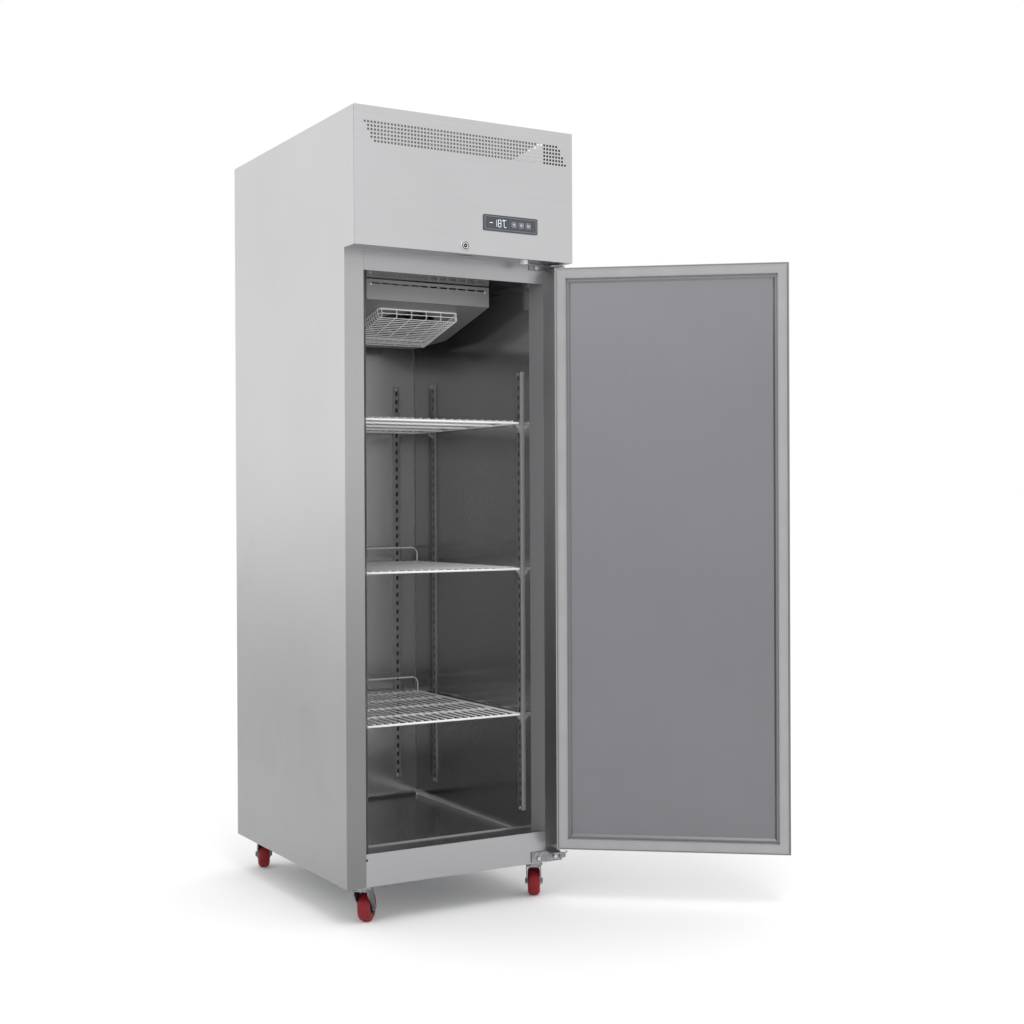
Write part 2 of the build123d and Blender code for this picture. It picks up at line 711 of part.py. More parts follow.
def breaker_strips():
    """Slanted strips that join the front frame to the lining: top, left and right."""
    trapezoid = (
        (-OPENING_HALF, SHEET),
        (OPENING_HALF, SHEET),
        (INSIDE_HALF, STRIP_BACK),
        (-INSIDE_HALF, STRIP_BACK),
    )
    slope = (
        (SHEET, HEADER_Z),
        (STRIP_BACK, CEILING_Z),
        (STRIP_BACK, CEILING_Z + 2 * LINING),
        (SHEET, HEADER_Z + 2 * LINING),
    )
    with BuildPart() as top_strip:
        extrude(polygon_section(Plane.YZ.offset(-OPENING_HALF), slope), amount=2 * OPENING_HALF)
        plan = polygon_section(Plane.XY.offset(HEADER_Z), trapezoid)
        extrude(plan, amount=HEADER_HEIGHT, mode=Mode.INTERSECT)
    sides = []
    for side in (-1, 1):
        outline = (
            (side * OPENING_HALF, SHEET),
            (side * INSIDE_HALF, STRIP_BACK),
            (side * STRIP_INNER, STRIP_BACK),
            (side * OPENING_HALF, SHEET + STRIP_SKEW),
        )
        with BuildPart() as side_strip:
            extrude(polygon_section(Plane.XY.offset(PAN_Z), outline), amount=CEILING_Z - PAN_Z)
        sides.append(side_strip)
    save_group("breaker_strips", (top_strip, *sides))


def floor_pan():
    """Floor of the cold space: a ledge behind the kick panel, then a pan with coved edges."""
    outline = (
        (-OPENING_HALF, SHEET),
        (OPENING_HALF, SHEET),
        (INSIDE_HALF, STRIP_BACK),
        (INSIDE_HALF, INSIDE_BACK),
        (-INSIDE_HALF, INSIDE_BACK),
        (-INSIDE_HALF, STRIP_BACK),
    )
    cove_top = FLOOR_Z + COVE + COVE_LIP
    ledge = (
        (0, SILL_Z),
        (LEDGE_DEPTH, SILL_Z),
        (LEDGE_DEPTH, cove_top + COVE),
        (0, cove_top + COVE),
    )
    under_ledge = (
        (0, PAN_Z),
        (LEDGE_DEPTH, PAN_Z),
        (LEDGE_DEPTH, SILL_Z - PAN_SHEET),
        (0, SILL_Z - PAN_SHEET),
    )
    pool = (
        (LEDGE_DEPTH + SHEET, SILL_Z + COVE),
        (LEDGE_DEPTH + SHEET, SILL_Z),
        (LEDGE_DEPTH + LEDGE_SLOPE, FLOOR_Z),
        (INSIDE_BACK - LINING, FLOOR_Z),
        (INSIDE_BACK - LINING, SILL_Z + COVE),
    )
    pool_half = INSIDE_HALF - LINING
    with BuildPart() as pan:
        extrude(polygon_section(Plane.XY.offset(PAN_Z), outline), amount=cove_top - PAN_Z)
        extrude(
            polygon_section(Plane.YZ.offset(-OPENING_HALF), ledge),
            amount=2 * OPENING_HALF,
            mode=Mode.SUBTRACT,
        )
        extrude(
            polygon_section(Plane.YZ.offset(-OPENING_HALF), under_ledge),
            amount=2 * OPENING_HALF,
            mode=Mode.SUBTRACT,
        )
        extrude(
            polygon_section(Plane.YZ.offset(-pool_half), pool),
            amount=2 * pool_half,
            mode=Mode.SUBTRACT,
        )
        coves = (
            pan.edges()
            .filter_by_position(Axis.Z, FLOOR_Z - LINING / 2, FLOOR_Z + LINING / 2)
            .filter_by_position(Axis.Y, LEDGE_DEPTH + LEDGE_SLOPE + SHEET, INSIDE_BACK)
        )
        fillet(coves, radius=COVE)
    save(pan, "floor_pan")


# Shelf supports and shelves


def pilasters():
    """Channel strips that carry the shelf clips: two on each side wall and two on the back."""
    places = [
        Location((side * INSIDE_HALF, y, PILASTER_BOTTOM), (0, 0, side * 90))
        for side in (-1, 1)
        for y in (PILASTER_FRONT, PILASTER_REAR)
    ]
    places += [Location((x, INSIDE_BACK, PILASTER_BOTTOM), (0, 0, 180)) for x in
               (-PILASTER_BACK_X, PILASTER_BACK_X)]
    with BuildPart() as strips:
        for place in places:
            with BuildSketch(Plane(place)):
                Rectangle(PILASTER_WIDTH, PILASTER_DEPTH, align=(Align.CENTER, Align.MIN))
                inner = PILASTER_WIDTH - 2 * PILASTER_WALL
                Rectangle(
                    inner,
                    PILASTER_DEPTH - PILASTER_WALL,
                    align=(Align.CENTER, Align.MIN),
                    mode=Mode.SUBTRACT,
                )
            extrude(amount=PILASTER_TOP - PILASTER_BOTTOM)
    save(strips, "pilasters")


def shelf_clips():
    """Bent clips hung on the side pilasters, with a tongue under each corner of a shelf."""
    face = PILASTER_INNER
    leg_bottom = -FRAME_WIRE - SEAT_GAP - CLIP_LEG
    tongue_top = -FRAME_WIRE - SEAT_GAP
    with BuildPart() as clips:
        for side in (-1, 1):
            outline = (
                (side * face, leg_bottom),
                (side * face, CLIP_UPSTAND),
                (side * (face - CLIP_THICK), CLIP_UPSTAND),
                (side * (face - CLIP_THICK), tongue_top),
                (side * (face - CLIP_TONGUE), tongue_top),
                (side * (face - CLIP_TONGUE), tongue_top - CLIP_THICK),
                (side * (face - CLIP_THICK), tongue_top - CLIP_TONGUE),
                (side * (face - CLIP_THICK), leg_bottom),
            )
            for level in SHELF_LEVELS:
                for y in (PILASTER_FRONT, PILASTER_REAR):
                    near_face = (0, y + CLIP_WIDTH / 2, level)
                    plane = Plane(origin=near_face, x_dir=(1, 0, 0), z_dir=(0, -1, 0))
                    extrude(polygon_section(plane, outline), amount=CLIP_WIDTH)
    save(clips, "shelf_clips")


def wire_shelf(name, level):
    """Lift-out shelf: a wire frame with cross bars, a wire grid on top and a bent back stop."""
    half = SHELF_HALF - FRAME_WIRE
    depth = SHELF_BACK - SHELF_FRONT
    bar_pitch = (depth - 2 * FRAME_WIRE) / (CROSS_BARS + 1)
    grid_z = level + FRAME_WIRE + GRID_WIRE + WELD_GAP
    grid_pitch = 2 * half / (GRID_WIRES + 1)
    bar_side = half - FRAME_WIRE - WELD_GAP
    with BuildPart() as shelf:
        with BuildSketch(Plane.YZ.offset(-SHELF_HALF)):
            with Locations((SHELF_FRONT + FRAME_WIRE, level), (SHELF_BACK - FRAME_WIRE, level)):
                wire_polygon(FRAME_WIRE, THICK_WIRE_SIDES)
        extrude(amount=2 * SHELF_HALF)
        with BuildSketch(Plane.YZ.offset(-bar_side)):
            with Locations(((SHELF_FRONT + SHELF_BACK) / 2, level)):
                with GridLocations(bar_pitch, 0, CROSS_BARS, 1):
                    wire_polygon(FRAME_WIRE, THICK_WIRE_SIDES)
        extrude(amount=2 * bar_side)
        with BuildSketch(Plane.XZ.offset(-SHELF_FRONT - 2 * FRAME_WIRE - WELD_GAP)):
            with Locations((-half, level), (half, level)):
                wire_polygon(FRAME_WIRE, THICK_WIRE_SIDES)
        extrude(amount=4 * FRAME_WIRE + 2 * WELD_GAP - depth)
        with BuildSketch(Plane.XZ.offset(-SHELF_FRONT)):
            with Locations((0, grid_z)):
                with GridLocations(grid_pitch, 0, GRID_WIRES, 1):
                    wire_polygon(GRID_WIRE, THIN_WIRE_SIDES)
        extrude(amount=-depth)
        stop_y = SHELF_BACK - FRAME_WIRE
        foot = level + FRAME_WIRE + WELD_GAP
        with BuildLine(Plane.XZ.offset(-stop_y)):
            FilletPolyline(
                (-STOP_HALF, foot),
                (-STOP_HALF, level + STOP_HEIGHT),
                (STOP_HALF, level + STOP_HEIGHT),
                (STOP_HALF, foot),
                radius=STOP_CORNER,
            )
        with BuildSketch(Plane(origin=(-STOP_HALF, stop_y, foot), z_dir=(0, 0, 1))):
            wire_polygon(STOP_WIRE, THIN_WIRE_SIDES)
        sweep()
    save(shelf, name)


# Evaporator housing


def evaporator_cover():
    """Housing under the ceiling, open behind: slotted front, fan hole in its sloping underside."""
    shell = (
        (COOLER_FRONT, COOLER_TOP_Z),
        (COOLER_FRONT, COOLER_LIP_Z),
        (COOLER_KNEE_Y, COOLER_KNEE_Z),
        (COOLER_BACK, COOLER_BACK_Z),
        (COOLER_BACK, COOLER_TOP_Z),
    )
    space = (
        (COOLER_FRONT + SHEET, COOLER_TOP_Z + COOLER_REAR_LIP),
        (COOLER_FRONT + SHEET, COOLER_LIP_Z + SHEET),
        (COOLER_KNEE_Y, COOLER_KNEE_Z + SHEET),
        (COOLER_BACK - SHEET, COOLER_BACK_Z + SHEET),
        (COOLER_BACK - SHEET, COOLER_BACK_Z + COOLER_REAR_LIP),
        (COOLER_BACK + SHEET, COOLER_BACK_Z + COOLER_REAR_LIP),
        (COOLER_BACK + SHEET, COOLER_TOP_Z + COOLER_REAR_LIP),
    )
    inner = COOLER_HALF - SHEET
    with BuildPart() as cover:
        extrude(polygon_section(Plane.YZ.offset(-COOLER_HALF), shell), amount=2 * COOLER_HALF)
        extrude(polygon_section(Plane.YZ.offset(-inner), space), amount=2 * inner, mode=Mode.SUBTRACT)
        with BuildSketch(Plane.XZ.offset(-COOLER_FRONT)):
            with Locations((0, COOLER_TOP_Z - SLOT_DROP)):
                with GridLocations(SLOT_PITCH, 0, SLOT_COUNT, 1):
                    Rectangle(SLOT_LENGTH, SLOT_HEIGHT)
        extrude(amount=-SHEET, mode=Mode.SUBTRACT)
        with BuildSketch(FAN_PLANE.offset(SHEET)):
            Circle(FAN_HOLE)
        extrude(amount=-4 * SHEET, mode=Mode.SUBTRACT)
        with BuildSketch(Plane.XY.offset(COOLER_TOP_Z)):
            with Locations((-COOLER_HALF, (COOLER_FRONT + COOLER_BACK) / 2)):
                Rectangle(TAB, TAB, align=(Align.MIN, Align.CENTER))
            with Locations((COOLER_HALF, (COOLER_FRONT + COOLER_BACK) / 2)):
                Rectangle(TAB, TAB, align=(Align.MAX, Align.CENTER))
        extrude(amount=COOLER_TOP_GAP)
    save(cover, "evaporator_cover")


def fan_guard():
    """Wire basket over the evaporator fan: cross wires, long wires and short legs to the housing."""
    half_width = GUARD_WIDTH / 2
    half_length = GUARD_LENGTH / 2
    outer = GUARD_DEPTH - GUARD_WIRE
    upper = outer - 2 * GUARD_WIRE - WELD_GAP
    cross_pitch = (GUARD_LENGTH - 2 * GUARD_WIRE) / (GUARD_CROSS_WIRES - 1)
    long_pitch = (GUARD_WIDTH - 2 * GUARD_WIRE) / (GUARD_LONG_WIRES - 1)
    across = Plane(origin=FAN_PLANE.from_local_coords(Vector(-half_width, 0, 0)),
                   x_dir=FAN_PLANE.y_dir, z_dir=FAN_PLANE.x_dir)
    along = Plane(origin=FAN_PLANE.from_local_coords(Vector(0, -half_length, 0)),
                  x_dir=-FAN_PLANE.x_dir, z_dir=FAN_PLANE.y_dir)
    with BuildPart() as guard:
        with BuildSketch(across):
            with Locations((0, outer)):
                with GridLocations(cross_pitch, 0, GUARD_CROSS_WIRES, 1):
                    wire_polygon(GUARD_WIRE, THIN_WIRE_SIDES)
            with Locations((half_length - GUARD_WIRE, GUARD_WIRE), (GUARD_WIRE - half_length, GUARD_WIRE)):
                wire_polygon(GUARD_WIRE, THIN_WIRE_SIDES)
        extrude(amount=GUARD_WIDTH)
        with BuildSketch(along):
            with Locations((0, upper)):
                with GridLocations(long_pitch, 0, GUARD_LONG_WIRES, 1):
                    wire_polygon(GUARD_WIRE, THIN_WIRE_SIDES)
        extrude(amount=GUARD_LENGTH)
        with BuildSketch(FAN_PLANE.offset(2 * GUARD_WIRE + WELD_GAP)):
            with GridLocations(long_pitch, GUARD_LENGTH - 2 * GUARD_WIRE, GUARD_LONG_WIRES, 2):
                wire_polygon(GUARD_WIRE, THIN_WIRE_SIDES)
        extrude(amount=upper - 3 * GUARD_WIRE - 2 * WELD_GAP)
    save(guard, "fan_guard")


def fan(name, plane, radius, hub_radius, blade_chord):
    """Axial fan: a hub bored for its shaft, with pitched blades rounded at the tips."""
    with BuildPart() as rotor:
        with BuildSketch(plane):
            Circle(hub_radius)
        extrude(amount=FAN_HUB_LENGTH / 2, both=True)
        for index in range(FAN_BLADES):
            radial = plane.x_dir.rotate(Axis((0, 0, 0), plane.z_dir), index * 360 / FAN_BLADES)
            blade = Plane(
                origin=plane.origin + radial * (hub_radius - FAN_ROOT_SINK),
                x_dir=radial,
                z_dir=plane.z_dir.rotate(Axis((0, 0, 0), radial), BLADE_ANGLE),
            )
            reach = radius - hub_radius + FAN_ROOT_SINK
            edge = [(reach * out, blade_chord * across) for out, across in BLADE_EDGE]
            outline = ((0, -BLADE_ROOT / 2), *edge, (0, BLADE_ROOT / 2))
            extrude(polygon_section(blade, outline), amount=BLADE_THICK / 2, both=True)
        with BuildSketch(plane.offset(-FAN_HUB_LENGTH / 2)):
            Circle(MOTOR_SHAFT + SHAFT_CLEARANCE)
        extrude(amount=FAN_HUB_LENGTH - HUB_FACE, mode=Mode.SUBTRACT)
    save(rotor, name)


def motor_on_strap(plane, span, leg):
    """Fan motor with its shaft, hung in a bent strap that stands off the panel round the fan."""
    face = FAN_HUB_LENGTH / 2 + HUB_GAP
    with BuildPart() as motor:
        with BuildSketch(plane.offset(-face)):
            Circle(MOTOR_RADIUS)
        extrude(amount=-MOTOR_LENGTH)
        with BuildSketch(plane.offset(-face)):
            Circle(MOTOR_SHAFT)
        extrude(amount=FAN_HUB_LENGTH - HUB_FACE)
        with BuildSketch(plane.offset(-face - MOTOR_LENGTH)):
            Rectangle(2 * span, MOTOR_STRAP)
        extrude(amount=-MOTOR_STRAP_THICK)
        with BuildSketch(plane.offset(-face - MOTOR_LENGTH)):
            with GridLocations(2 * span - MOTOR_STRAP_THICK, 0, 2, 1):
                Rectangle(MOTOR_STRAP_THICK, MOTOR_STRAP)
        extrude(amount=face + MOTOR_LENGTH - leg)
    return motor


def evaporator_coil():
    """Finned block with end plates that hang it from the ceiling."""
    bottom = COIL_TOP_Z - COIL_HEIGHT
    fins = int((COIL_BACK - COIL_FRONT) / COIL_FIN_GAP)
    with BuildPart() as coil:
        with BuildSketch(Plane.XY.offset(bottom)):
            with Locations((0, (COIL_FRONT + COIL_BACK) / 2)):
                Rectangle(2 * COIL_HALF, COIL_BACK - COIL_FRONT)
        extrude(amount=COIL_HEIGHT)
        with BuildSketch(Plane.XY.offset(bottom)):
            with Locations((0, (COIL_FRONT + COIL_BACK) / 2)):
                with GridLocations(0, COIL_FIN_GAP, 1, fins):
                    Rectangle(2 * (COIL_HALF - COIL_FIN_CUT), COIL_FIN_CUT)
        extrude(amount=COIL_FIN_DEPTH, mode=Mode.SUBTRACT)
        with BuildSketch(Plane.YZ.offset(-COIL_HALF)):
            with Locations(((COIL_FRONT + COIL_BACK) / 2, (bottom + CEILING_Z) / 2)):
                Rectangle(COIL_BACK - COIL_FRONT, CEILING_Z - bottom)
        extrude(amount=COIL_PLATE)
        with BuildSketch(Plane.YZ.offset(COIL_HALF)):
            with Locations(((COIL_FRONT + COIL_BACK) / 2, (bottom + CEILING_Z) / 2)):
                Rectangle(COIL_BACK - COIL_FRONT, CEILING_Z - bottom)
        extrude(amount=-COIL_PLATE)
    save(coil, "evaporator_coil")


def drain_pipe():
    """Drain from the housing's low edge, through the back wall and down to below the base."""
    with BuildPart() as pipe:
        drain_bore(Mode.ADD, DRAIN_RADIUS)
    save(pipe, "drain_pipe")


# Canopy and fascia


def canopy():
    """Fixed hood over the door: bottom sheet, two cheeks, and a top rail with hinge knuckles."""
    slot_left = LOCK_X - CAM_WIDTH / 2 - CAM_SLOT_SPARE
    slot_right = LOCK_X + CAM_REACH
    rail_y = FASCIA_AXIS_Y + KNUCKLE + PANEL_GAP
    with BuildPart() as hood:
        with BuildSketch(Plane.XY.offset(CANOPY_Z)):
            with Locations((0, CHEEK_FRONT_Y / 2)):
                Rectangle(WIDTH, -CHEEK_FRONT_Y)
            with Locations(((slot_left + slot_right) / 2, CAM_Y + CAM_THICK / 2)):
                Rectangle(slot_right - slot_left, CAM_SLOT_WIDTH, mode=Mode.SUBTRACT)
        extrude(amount=SHEET)
        for side in (-1, 1):
            with BuildSketch(Plane.YZ.offset(side * (HALF - SHEET / 2))):
                with BuildLine():
                    FilletPolyline(
                        (0, CANOPY_Z),
                        (0, HEIGHT),
                        (CHEEK_FRONT_Y, HEIGHT),
                        (CHEEK_FRONT_Y, CANOPY_Z),
                        radius=(0, CHEEK_CORNER),
                    )
                    Line((CHEEK_FRONT_Y, CANOPY_Z), (0, CANOPY_Z))
                make_face()
            extrude(amount=SHEET / 2, both=True)
        with BuildSketch(Plane.YZ.offset(-PANEL_HALF)):
            with Locations((rail_y, HEIGHT)):
                Rectangle(RAIL_DEPTH, SHEET, align=(Align.MIN, Align.MAX))
        extrude(amount=2 * PANEL_HALF)
        for centre in FIXED_KNUCKLES:
            with BuildSketch(Plane.YZ.offset(centre - KNUCKLE_LENGTH / 2)):
                with Locations((FASCIA_AXIS_Y, FASCIA_AXIS_Z)):
                    Circle(KNUCKLE)
                    Rectangle(rail_y - FASCIA_AXIS_Y, KNUCKLE, align=(Align.MIN, Align.MIN))
            extrude(amount=KNUCKLE_LENGTH)
        pin_half = FIXED_KNUCKLES[-1]
        start = (-pin_half, FASCIA_AXIS_Y, FASCIA_AXIS_Z)
        cylinder_between(start, (pin_half, FASCIA_AXIS_Y, FASCIA_AXIS_Z), KNUCKLE_PIN)
    save(hood, "canopy")


def fascia_panel():
    """Front panel hinged at the top: folded edges, vent grid, and holes for lock and controller."""
    tall = HEIGHT - CANOPY_Z
    ring_bottom = CANOPY_Z + SHEET + RETURN_LIFT
    ring_top = FASCIA_AXIS_Z - 2 * KNUCKLE
    ring_half = PANEL_HALF - RETURN_INSET
    with BuildPart() as panel:
        with BuildSketch(Plane.XZ.offset(-PANEL_BACK_Y)):
            with Locations((0, CANOPY_Z + tall / 2)):
                Rectangle(WIDTH, tall)
            with Locations((LOCK_X, LOCK_Z)):
                Circle(LOCK_RADIUS, mode=Mode.SUBTRACT)
            with Locations((CONTROLLER_X, CONTROLLER_Z)):
                Rectangle(
                    CONTROLLER_WIDTH - 2 * CONTROLLER_RIM,
                    CONTROLLER_HEIGHT - 2 * CONTROLLER_RIM,
                    mode=Mode.SUBTRACT,
                )
            vent_mid = VENT_LEFT - HALF + VENT_PITCH * (VENT_COLUMNS - 1) / 2
            for row, shift in enumerate(VENT_SHIFTS):
                height = HEIGHT - VENT_TOP - row * VENT_PITCH
                with Locations((vent_mid + shift * VENT_PITCH, height)):
                    with GridLocations(VENT_PITCH, 0, VENT_COLUMNS, 1):
                        Rectangle(VENT_HOLE, VENT_HOLE, mode=Mode.SUBTRACT)
        extrude(amount=SHEET)
        with BuildSketch(Plane.XZ.offset(-PANEL_BACK_Y)):
            with Locations((0, (ring_bottom + ring_top) / 2)):
                Rectangle(2 * ring_half, ring_top - ring_bottom)
                Rectangle(2 * (ring_half - SHEET), ring_top - ring_bottom - 2 * SHEET, mode=Mode.SUBTRACT)
        extrude(amount=-PANEL_RETURN)
        for centre in MOVING_KNUCKLES:
            with BuildSketch(Plane.YZ.offset(centre - KNUCKLE_LENGTH / 2)):
                with Locations((FASCIA_AXIS_Y, FASCIA_AXIS_Z)):
                    Circle(KNUCKLE)
                    Rectangle(KNUCKLE, 2 * KNUCKLE, align=(Align.MAX, Align.CENTER))
                    Circle(KNUCKLE_PIN + SHAFT_CLEARANCE, mode=Mode.SUBTRACT)
            extrude(amount=KNUCKLE_LENGTH)
    save(panel, "fascia_panel")


def controller():
    """Temperature controller: a flat bezel on the fascia, its box behind, and pockets for keys."""
    with BuildPart() as unit:
        with BuildSketch(Plane.XZ.offset(CANOPY_PROJECTION)):
            with Locations((CONTROLLER_X, CONTROLLER_Z)):
                RectangleRounded(CONTROLLER_WIDTH, CONTROLLER_HEIGHT, 2 * BEZEL)
        extrude(amount=BEZEL)
        with BuildSketch(Plane.XZ.offset(CANOPY_PROJECTION)):
            with Locations((CONTROLLER_X, CONTROLLER_Z)):
                Rectangle(
                    CONTROLLER_WIDTH - 2 * CONTROLLER_RIM,
                    CONTROLLER_HEIGHT - 2 * CONTROLLER_RIM,
                )
        extrude(amount=-CONTROLLER_DEPTH)
        with BuildSketch(Plane.XZ.offset(CANOPY_PROJECTION + BEZEL)):
            with Locations(*[(CONTROLLER_LEFT + place, CONTROLLER_Z) for place in KEY_PLACES]):
                Rectangle(KEY_SIZE + 2 * KEY_GAP, KEY_SIZE + 2 * KEY_GAP)
        extrude(amount=-(KEY_THICK - KEY_PROUD + KEY_TRAVEL + KEY_GAP), mode=Mode.SUBTRACT)
    save(unit, "controller")


def controller_key(index):
    """Square key that presses into the controller's face."""
    with BuildPart() as key:
        with BuildSketch(Plane.XZ.offset(CANOPY_PROJECTION + BEZEL + KEY_PROUD)):
            with Locations((CONTROLLER_LEFT + KEY_PLACES[index], CONTROLLER_Z)):
                Rectangle(KEY_SIZE, KEY_SIZE)
        extrude(amount=-KEY_THICK)
    save(key, f"key_{index + 1}")


def lock_body():
    """Lock cylinder through the fascia: a flange in front with a keyway, and a bore behind."""
    with BuildPart() as body:
        with BuildSketch(Plane.XZ.offset(CANOPY_PROJECTION)):
            with Locations((LOCK_X, LOCK_Z)):
                Circle(LOCK_FLANGE)
        extrude(amount=LOCK_FLANGE_THICK)
        chamfer(body.faces().sort_by(Axis.Y)[0].edges(), length=LOCK_FLANGE_THICK / 2)
        with BuildSketch(Plane.XZ.offset(CANOPY_PROJECTION)):
            with Locations((LOCK_X, LOCK_Z)):
                Circle(LOCK_RADIUS)
        extrude(amount=-LOCK_DEPTH)
        with BuildSketch(Plane.XZ.offset(CANOPY_PROJECTION + LOCK_FLANGE_THICK)):
            with Locations((LOCK_X, LOCK_Z)):
                Rectangle(KEYHOLE_WIDTH, KEYHOLE_LENGTH)
        extrude(amount=-KEYHOLE_DEPTH, mode=Mode.SUBTRACT)
        back = Plane.XZ.offset(CANOPY_PROJECTION - LOCK_DEPTH)
        with BuildSketch(back):
            with Locations((LOCK_X, LOCK_Z)):
                Circle(CAM_STEM + SHAFT_CLEARANCE)
        extrude(amount=CAM_STEM_LENGTH, mode=Mode.SUBTRACT)
    save(body, "lock_body")


def lock_cam():
    """Lock tongue behind the fascia: it turns down through the hood into the door's top edge."""
    with BuildPart() as cam:
        with BuildSketch(Plane.XZ.offset(-CAM_Y)):
            with Locations((LOCK_X, LOCK_Z)):
                Circle(CAM_WIDTH / 2)
                Rectangle(CAM_REACH, CAM_WIDTH, align=(Align.MIN, Align.CENTER))
        extrude(amount=-CAM_THICK)
        with BuildSketch(Plane.XZ.offset(-CAM_Y)):
            with Locations((LOCK_X, LOCK_Z)):
                Circle(CAM_STEM)
        extrude(amount=CAM_STEM_LENGTH)
    save(cam, "lock_cam")


def door_switch():
    """Plunger switch that hangs under the hood, just above the closed door."""
    with BuildPart() as switch:
        with BuildSketch(Plane.XY.offset(CANOPY_Z)):
            with Locations((SWITCH_X, -SWITCH_BACK)):
                Rectangle(SWITCH_WIDTH, SWITCH_DEPTH)
        extrude(amount=-SWITCH_DROP)
        chamfer(switch.faces().sort_by(Axis.Z)[0].edges(), length=SHEET)
    save(switch, "door_switch")


# Door


def rim_rectangle(width, height):
    """Rectangle centred on the door's height and width, in an upright door plane."""
    with Locations((DOOR_MID_U, DOOR_MID_Z)):
        Rectangle(width, height)


def door_skin():
    """Outer door sheet: a deep pan, open towards the cabinet, cut for grip, lock and hinge."""
    with BuildPart() as skin:
        with BuildSketch(DOOR_PLANE.offset(DOOR_BOTTOM)):
            with Locations((DOOR_MID_U, HINGE_SETBACK - DOOR_THICK / 2)):
                Rectangle(DOOR_WIDTH, DOOR_THICK)
        extrude(amount=DOOR_HEIGHT)
        front = skin.faces().sort_by(Axis(DOOR_PLANE.origin, DOOR_PLANE.y_dir))[-1]
        fillet(front.edges().filter_by(Axis.Z), radius=DOOR_CORNER)
        with BuildSketch(door_face(HINGE_SETBACK - SHEET)):
            with Locations((DOOR_MID_U, DOOR_MID_Z)):
                Rectangle(DOOR_WIDTH - 2 * SHEET, DOOR_HEIGHT - 2 * SHEET)
        extrude(amount=DOOR_THICK - SHEET, mode=Mode.SUBTRACT)
        with BuildSketch(door_face(HINGE_SETBACK)):
            with Locations((GRIP_U, GRIP_HEIGHT_ABOVE_FLOOR)):
                RectangleRounded(GRIP_WIDTH, GRIP_LENGTH, GRIP_CORNER)
        extrude(amount=SHEET, mode=Mode.SUBTRACT)
        with BuildSketch(DOOR_PLANE.offset(DOOR_TOP - SHEET)):
            with Locations((CAM_SLOT_U, CAM_SLOT_V)):
                Rectangle(CAM_SLOT_LENGTH, CAM_SLOT_WIDTH)
            Circle(SOCKET_RADIUS)
        extrude(amount=SHEET, mode=Mode.SUBTRACT)
        with BuildSketch(DOOR_PLANE.offset(DOOR_BOTTOM)):
            Circle(SOCKET_RADIUS)
        extrude(amount=SHEET, mode=Mode.SUBTRACT)
    save(skin, "door_skin")


def dished_boss(depth, spread, mode):
    """Tapered field of the door's inner panel, as deep as asked, in or out of the part."""
    width = DOOR_WIDTH - 2 * LINER_MARGIN + 2 * spread
    height = DOOR_HEIGHT - 2 * LINER_MARGIN + 2 * spread
    with BuildSketch(door_face(DOOR_INNER_V)) as field:
        rim_rectangle(width, height)
    extrude(field.sketch, amount=-depth, taper=LINER_TAPER, mode=mode)


def door_liner():
    """Inner door panel: a flat rim under the gasket and a shallow dished field."""
    with BuildPart() as panel:
        with BuildSketch(door_face(DOOR_INNER_V + SHEET)):
            with Locations((DOOR_MID_U, DOOR_MID_Z)):
                Rectangle(DOOR_WIDTH - 2 * SHEET, DOOR_HEIGHT - 2 * SHEET)
        extrude(amount=SHEET)
        dished_boss(LINER_DISH + SHEET, SHEET / 2, Mode.ADD)
        dished_boss(LINER_DISH, 0, Mode.SUBTRACT)
    save(panel, "door_liner")


def door_foam():
    """Foam that fills the door, moulded round the inner panel, grip cup, lock slot and bushes."""
    with BuildPart() as foam:
        with BuildSketch(door_face(HINGE_SETBACK - SHEET)):
            with Locations((DOOR_MID_U, DOOR_MID_Z)):
                Rectangle(DOOR_WIDTH - 2 * SHEET, DOOR_HEIGHT - 2 * SHEET)
        extrude(amount=DOOR_THICK - 2 * SHEET)
        dished_boss(LINER_DISH + SHEET, SHEET / 2, Mode.SUBTRACT)
        with BuildSketch(door_face(HINGE_SETBACK)):
            with Locations((GRIP_U, GRIP_HEIGHT_ABOVE_FLOOR)):
                RectangleRounded(GRIP_WIDTH, GRIP_LENGTH, GRIP_CORNER)
        extrude(amount=GRIP_DEPTH, mode=Mode.SUBTRACT)
        with BuildSketch(DOOR_PLANE.offset(DOOR_TOP)):
            with Locations((CAM_SLOT_U, CAM_SLOT_V)):
                Rectangle(CAM_SLOT_LENGTH, CAM_SLOT_WIDTH)
        extrude(amount=-CAM_SLOT_DEPTH, mode=Mode.SUBTRACT)
        with BuildSketch(DOOR_PLANE.offset(DOOR_TOP)):
            Circle(SOCKET_RADIUS)
        extrude(amount=-TOP_SOCKET_LENGTH, mode=Mode.SUBTRACT)
        with BuildSketch(DOOR_PLANE.offset(DOOR_BOTTOM)):
            Circle(SOCKET_RADIUS)
        extrude(amount=SOCKET_LENGTH, mode=Mode.SUBTRACT)
    save(foam, "door_foam")


def gasket_corners(inset):
    """Corners of a rectangle set in from the door's edge, in order round the door."""
    half_width = DOOR_WIDTH / 2 - inset
    half_height = DOOR_HEIGHT / 2 - inset
    signs = ((-1, -1), (1, -1), (1, 1), (-1, 1))
    return [(DOOR_MID_U + sx * half_width, DOOR_MID_Z + sy * half_height) for sx, sy in signs]


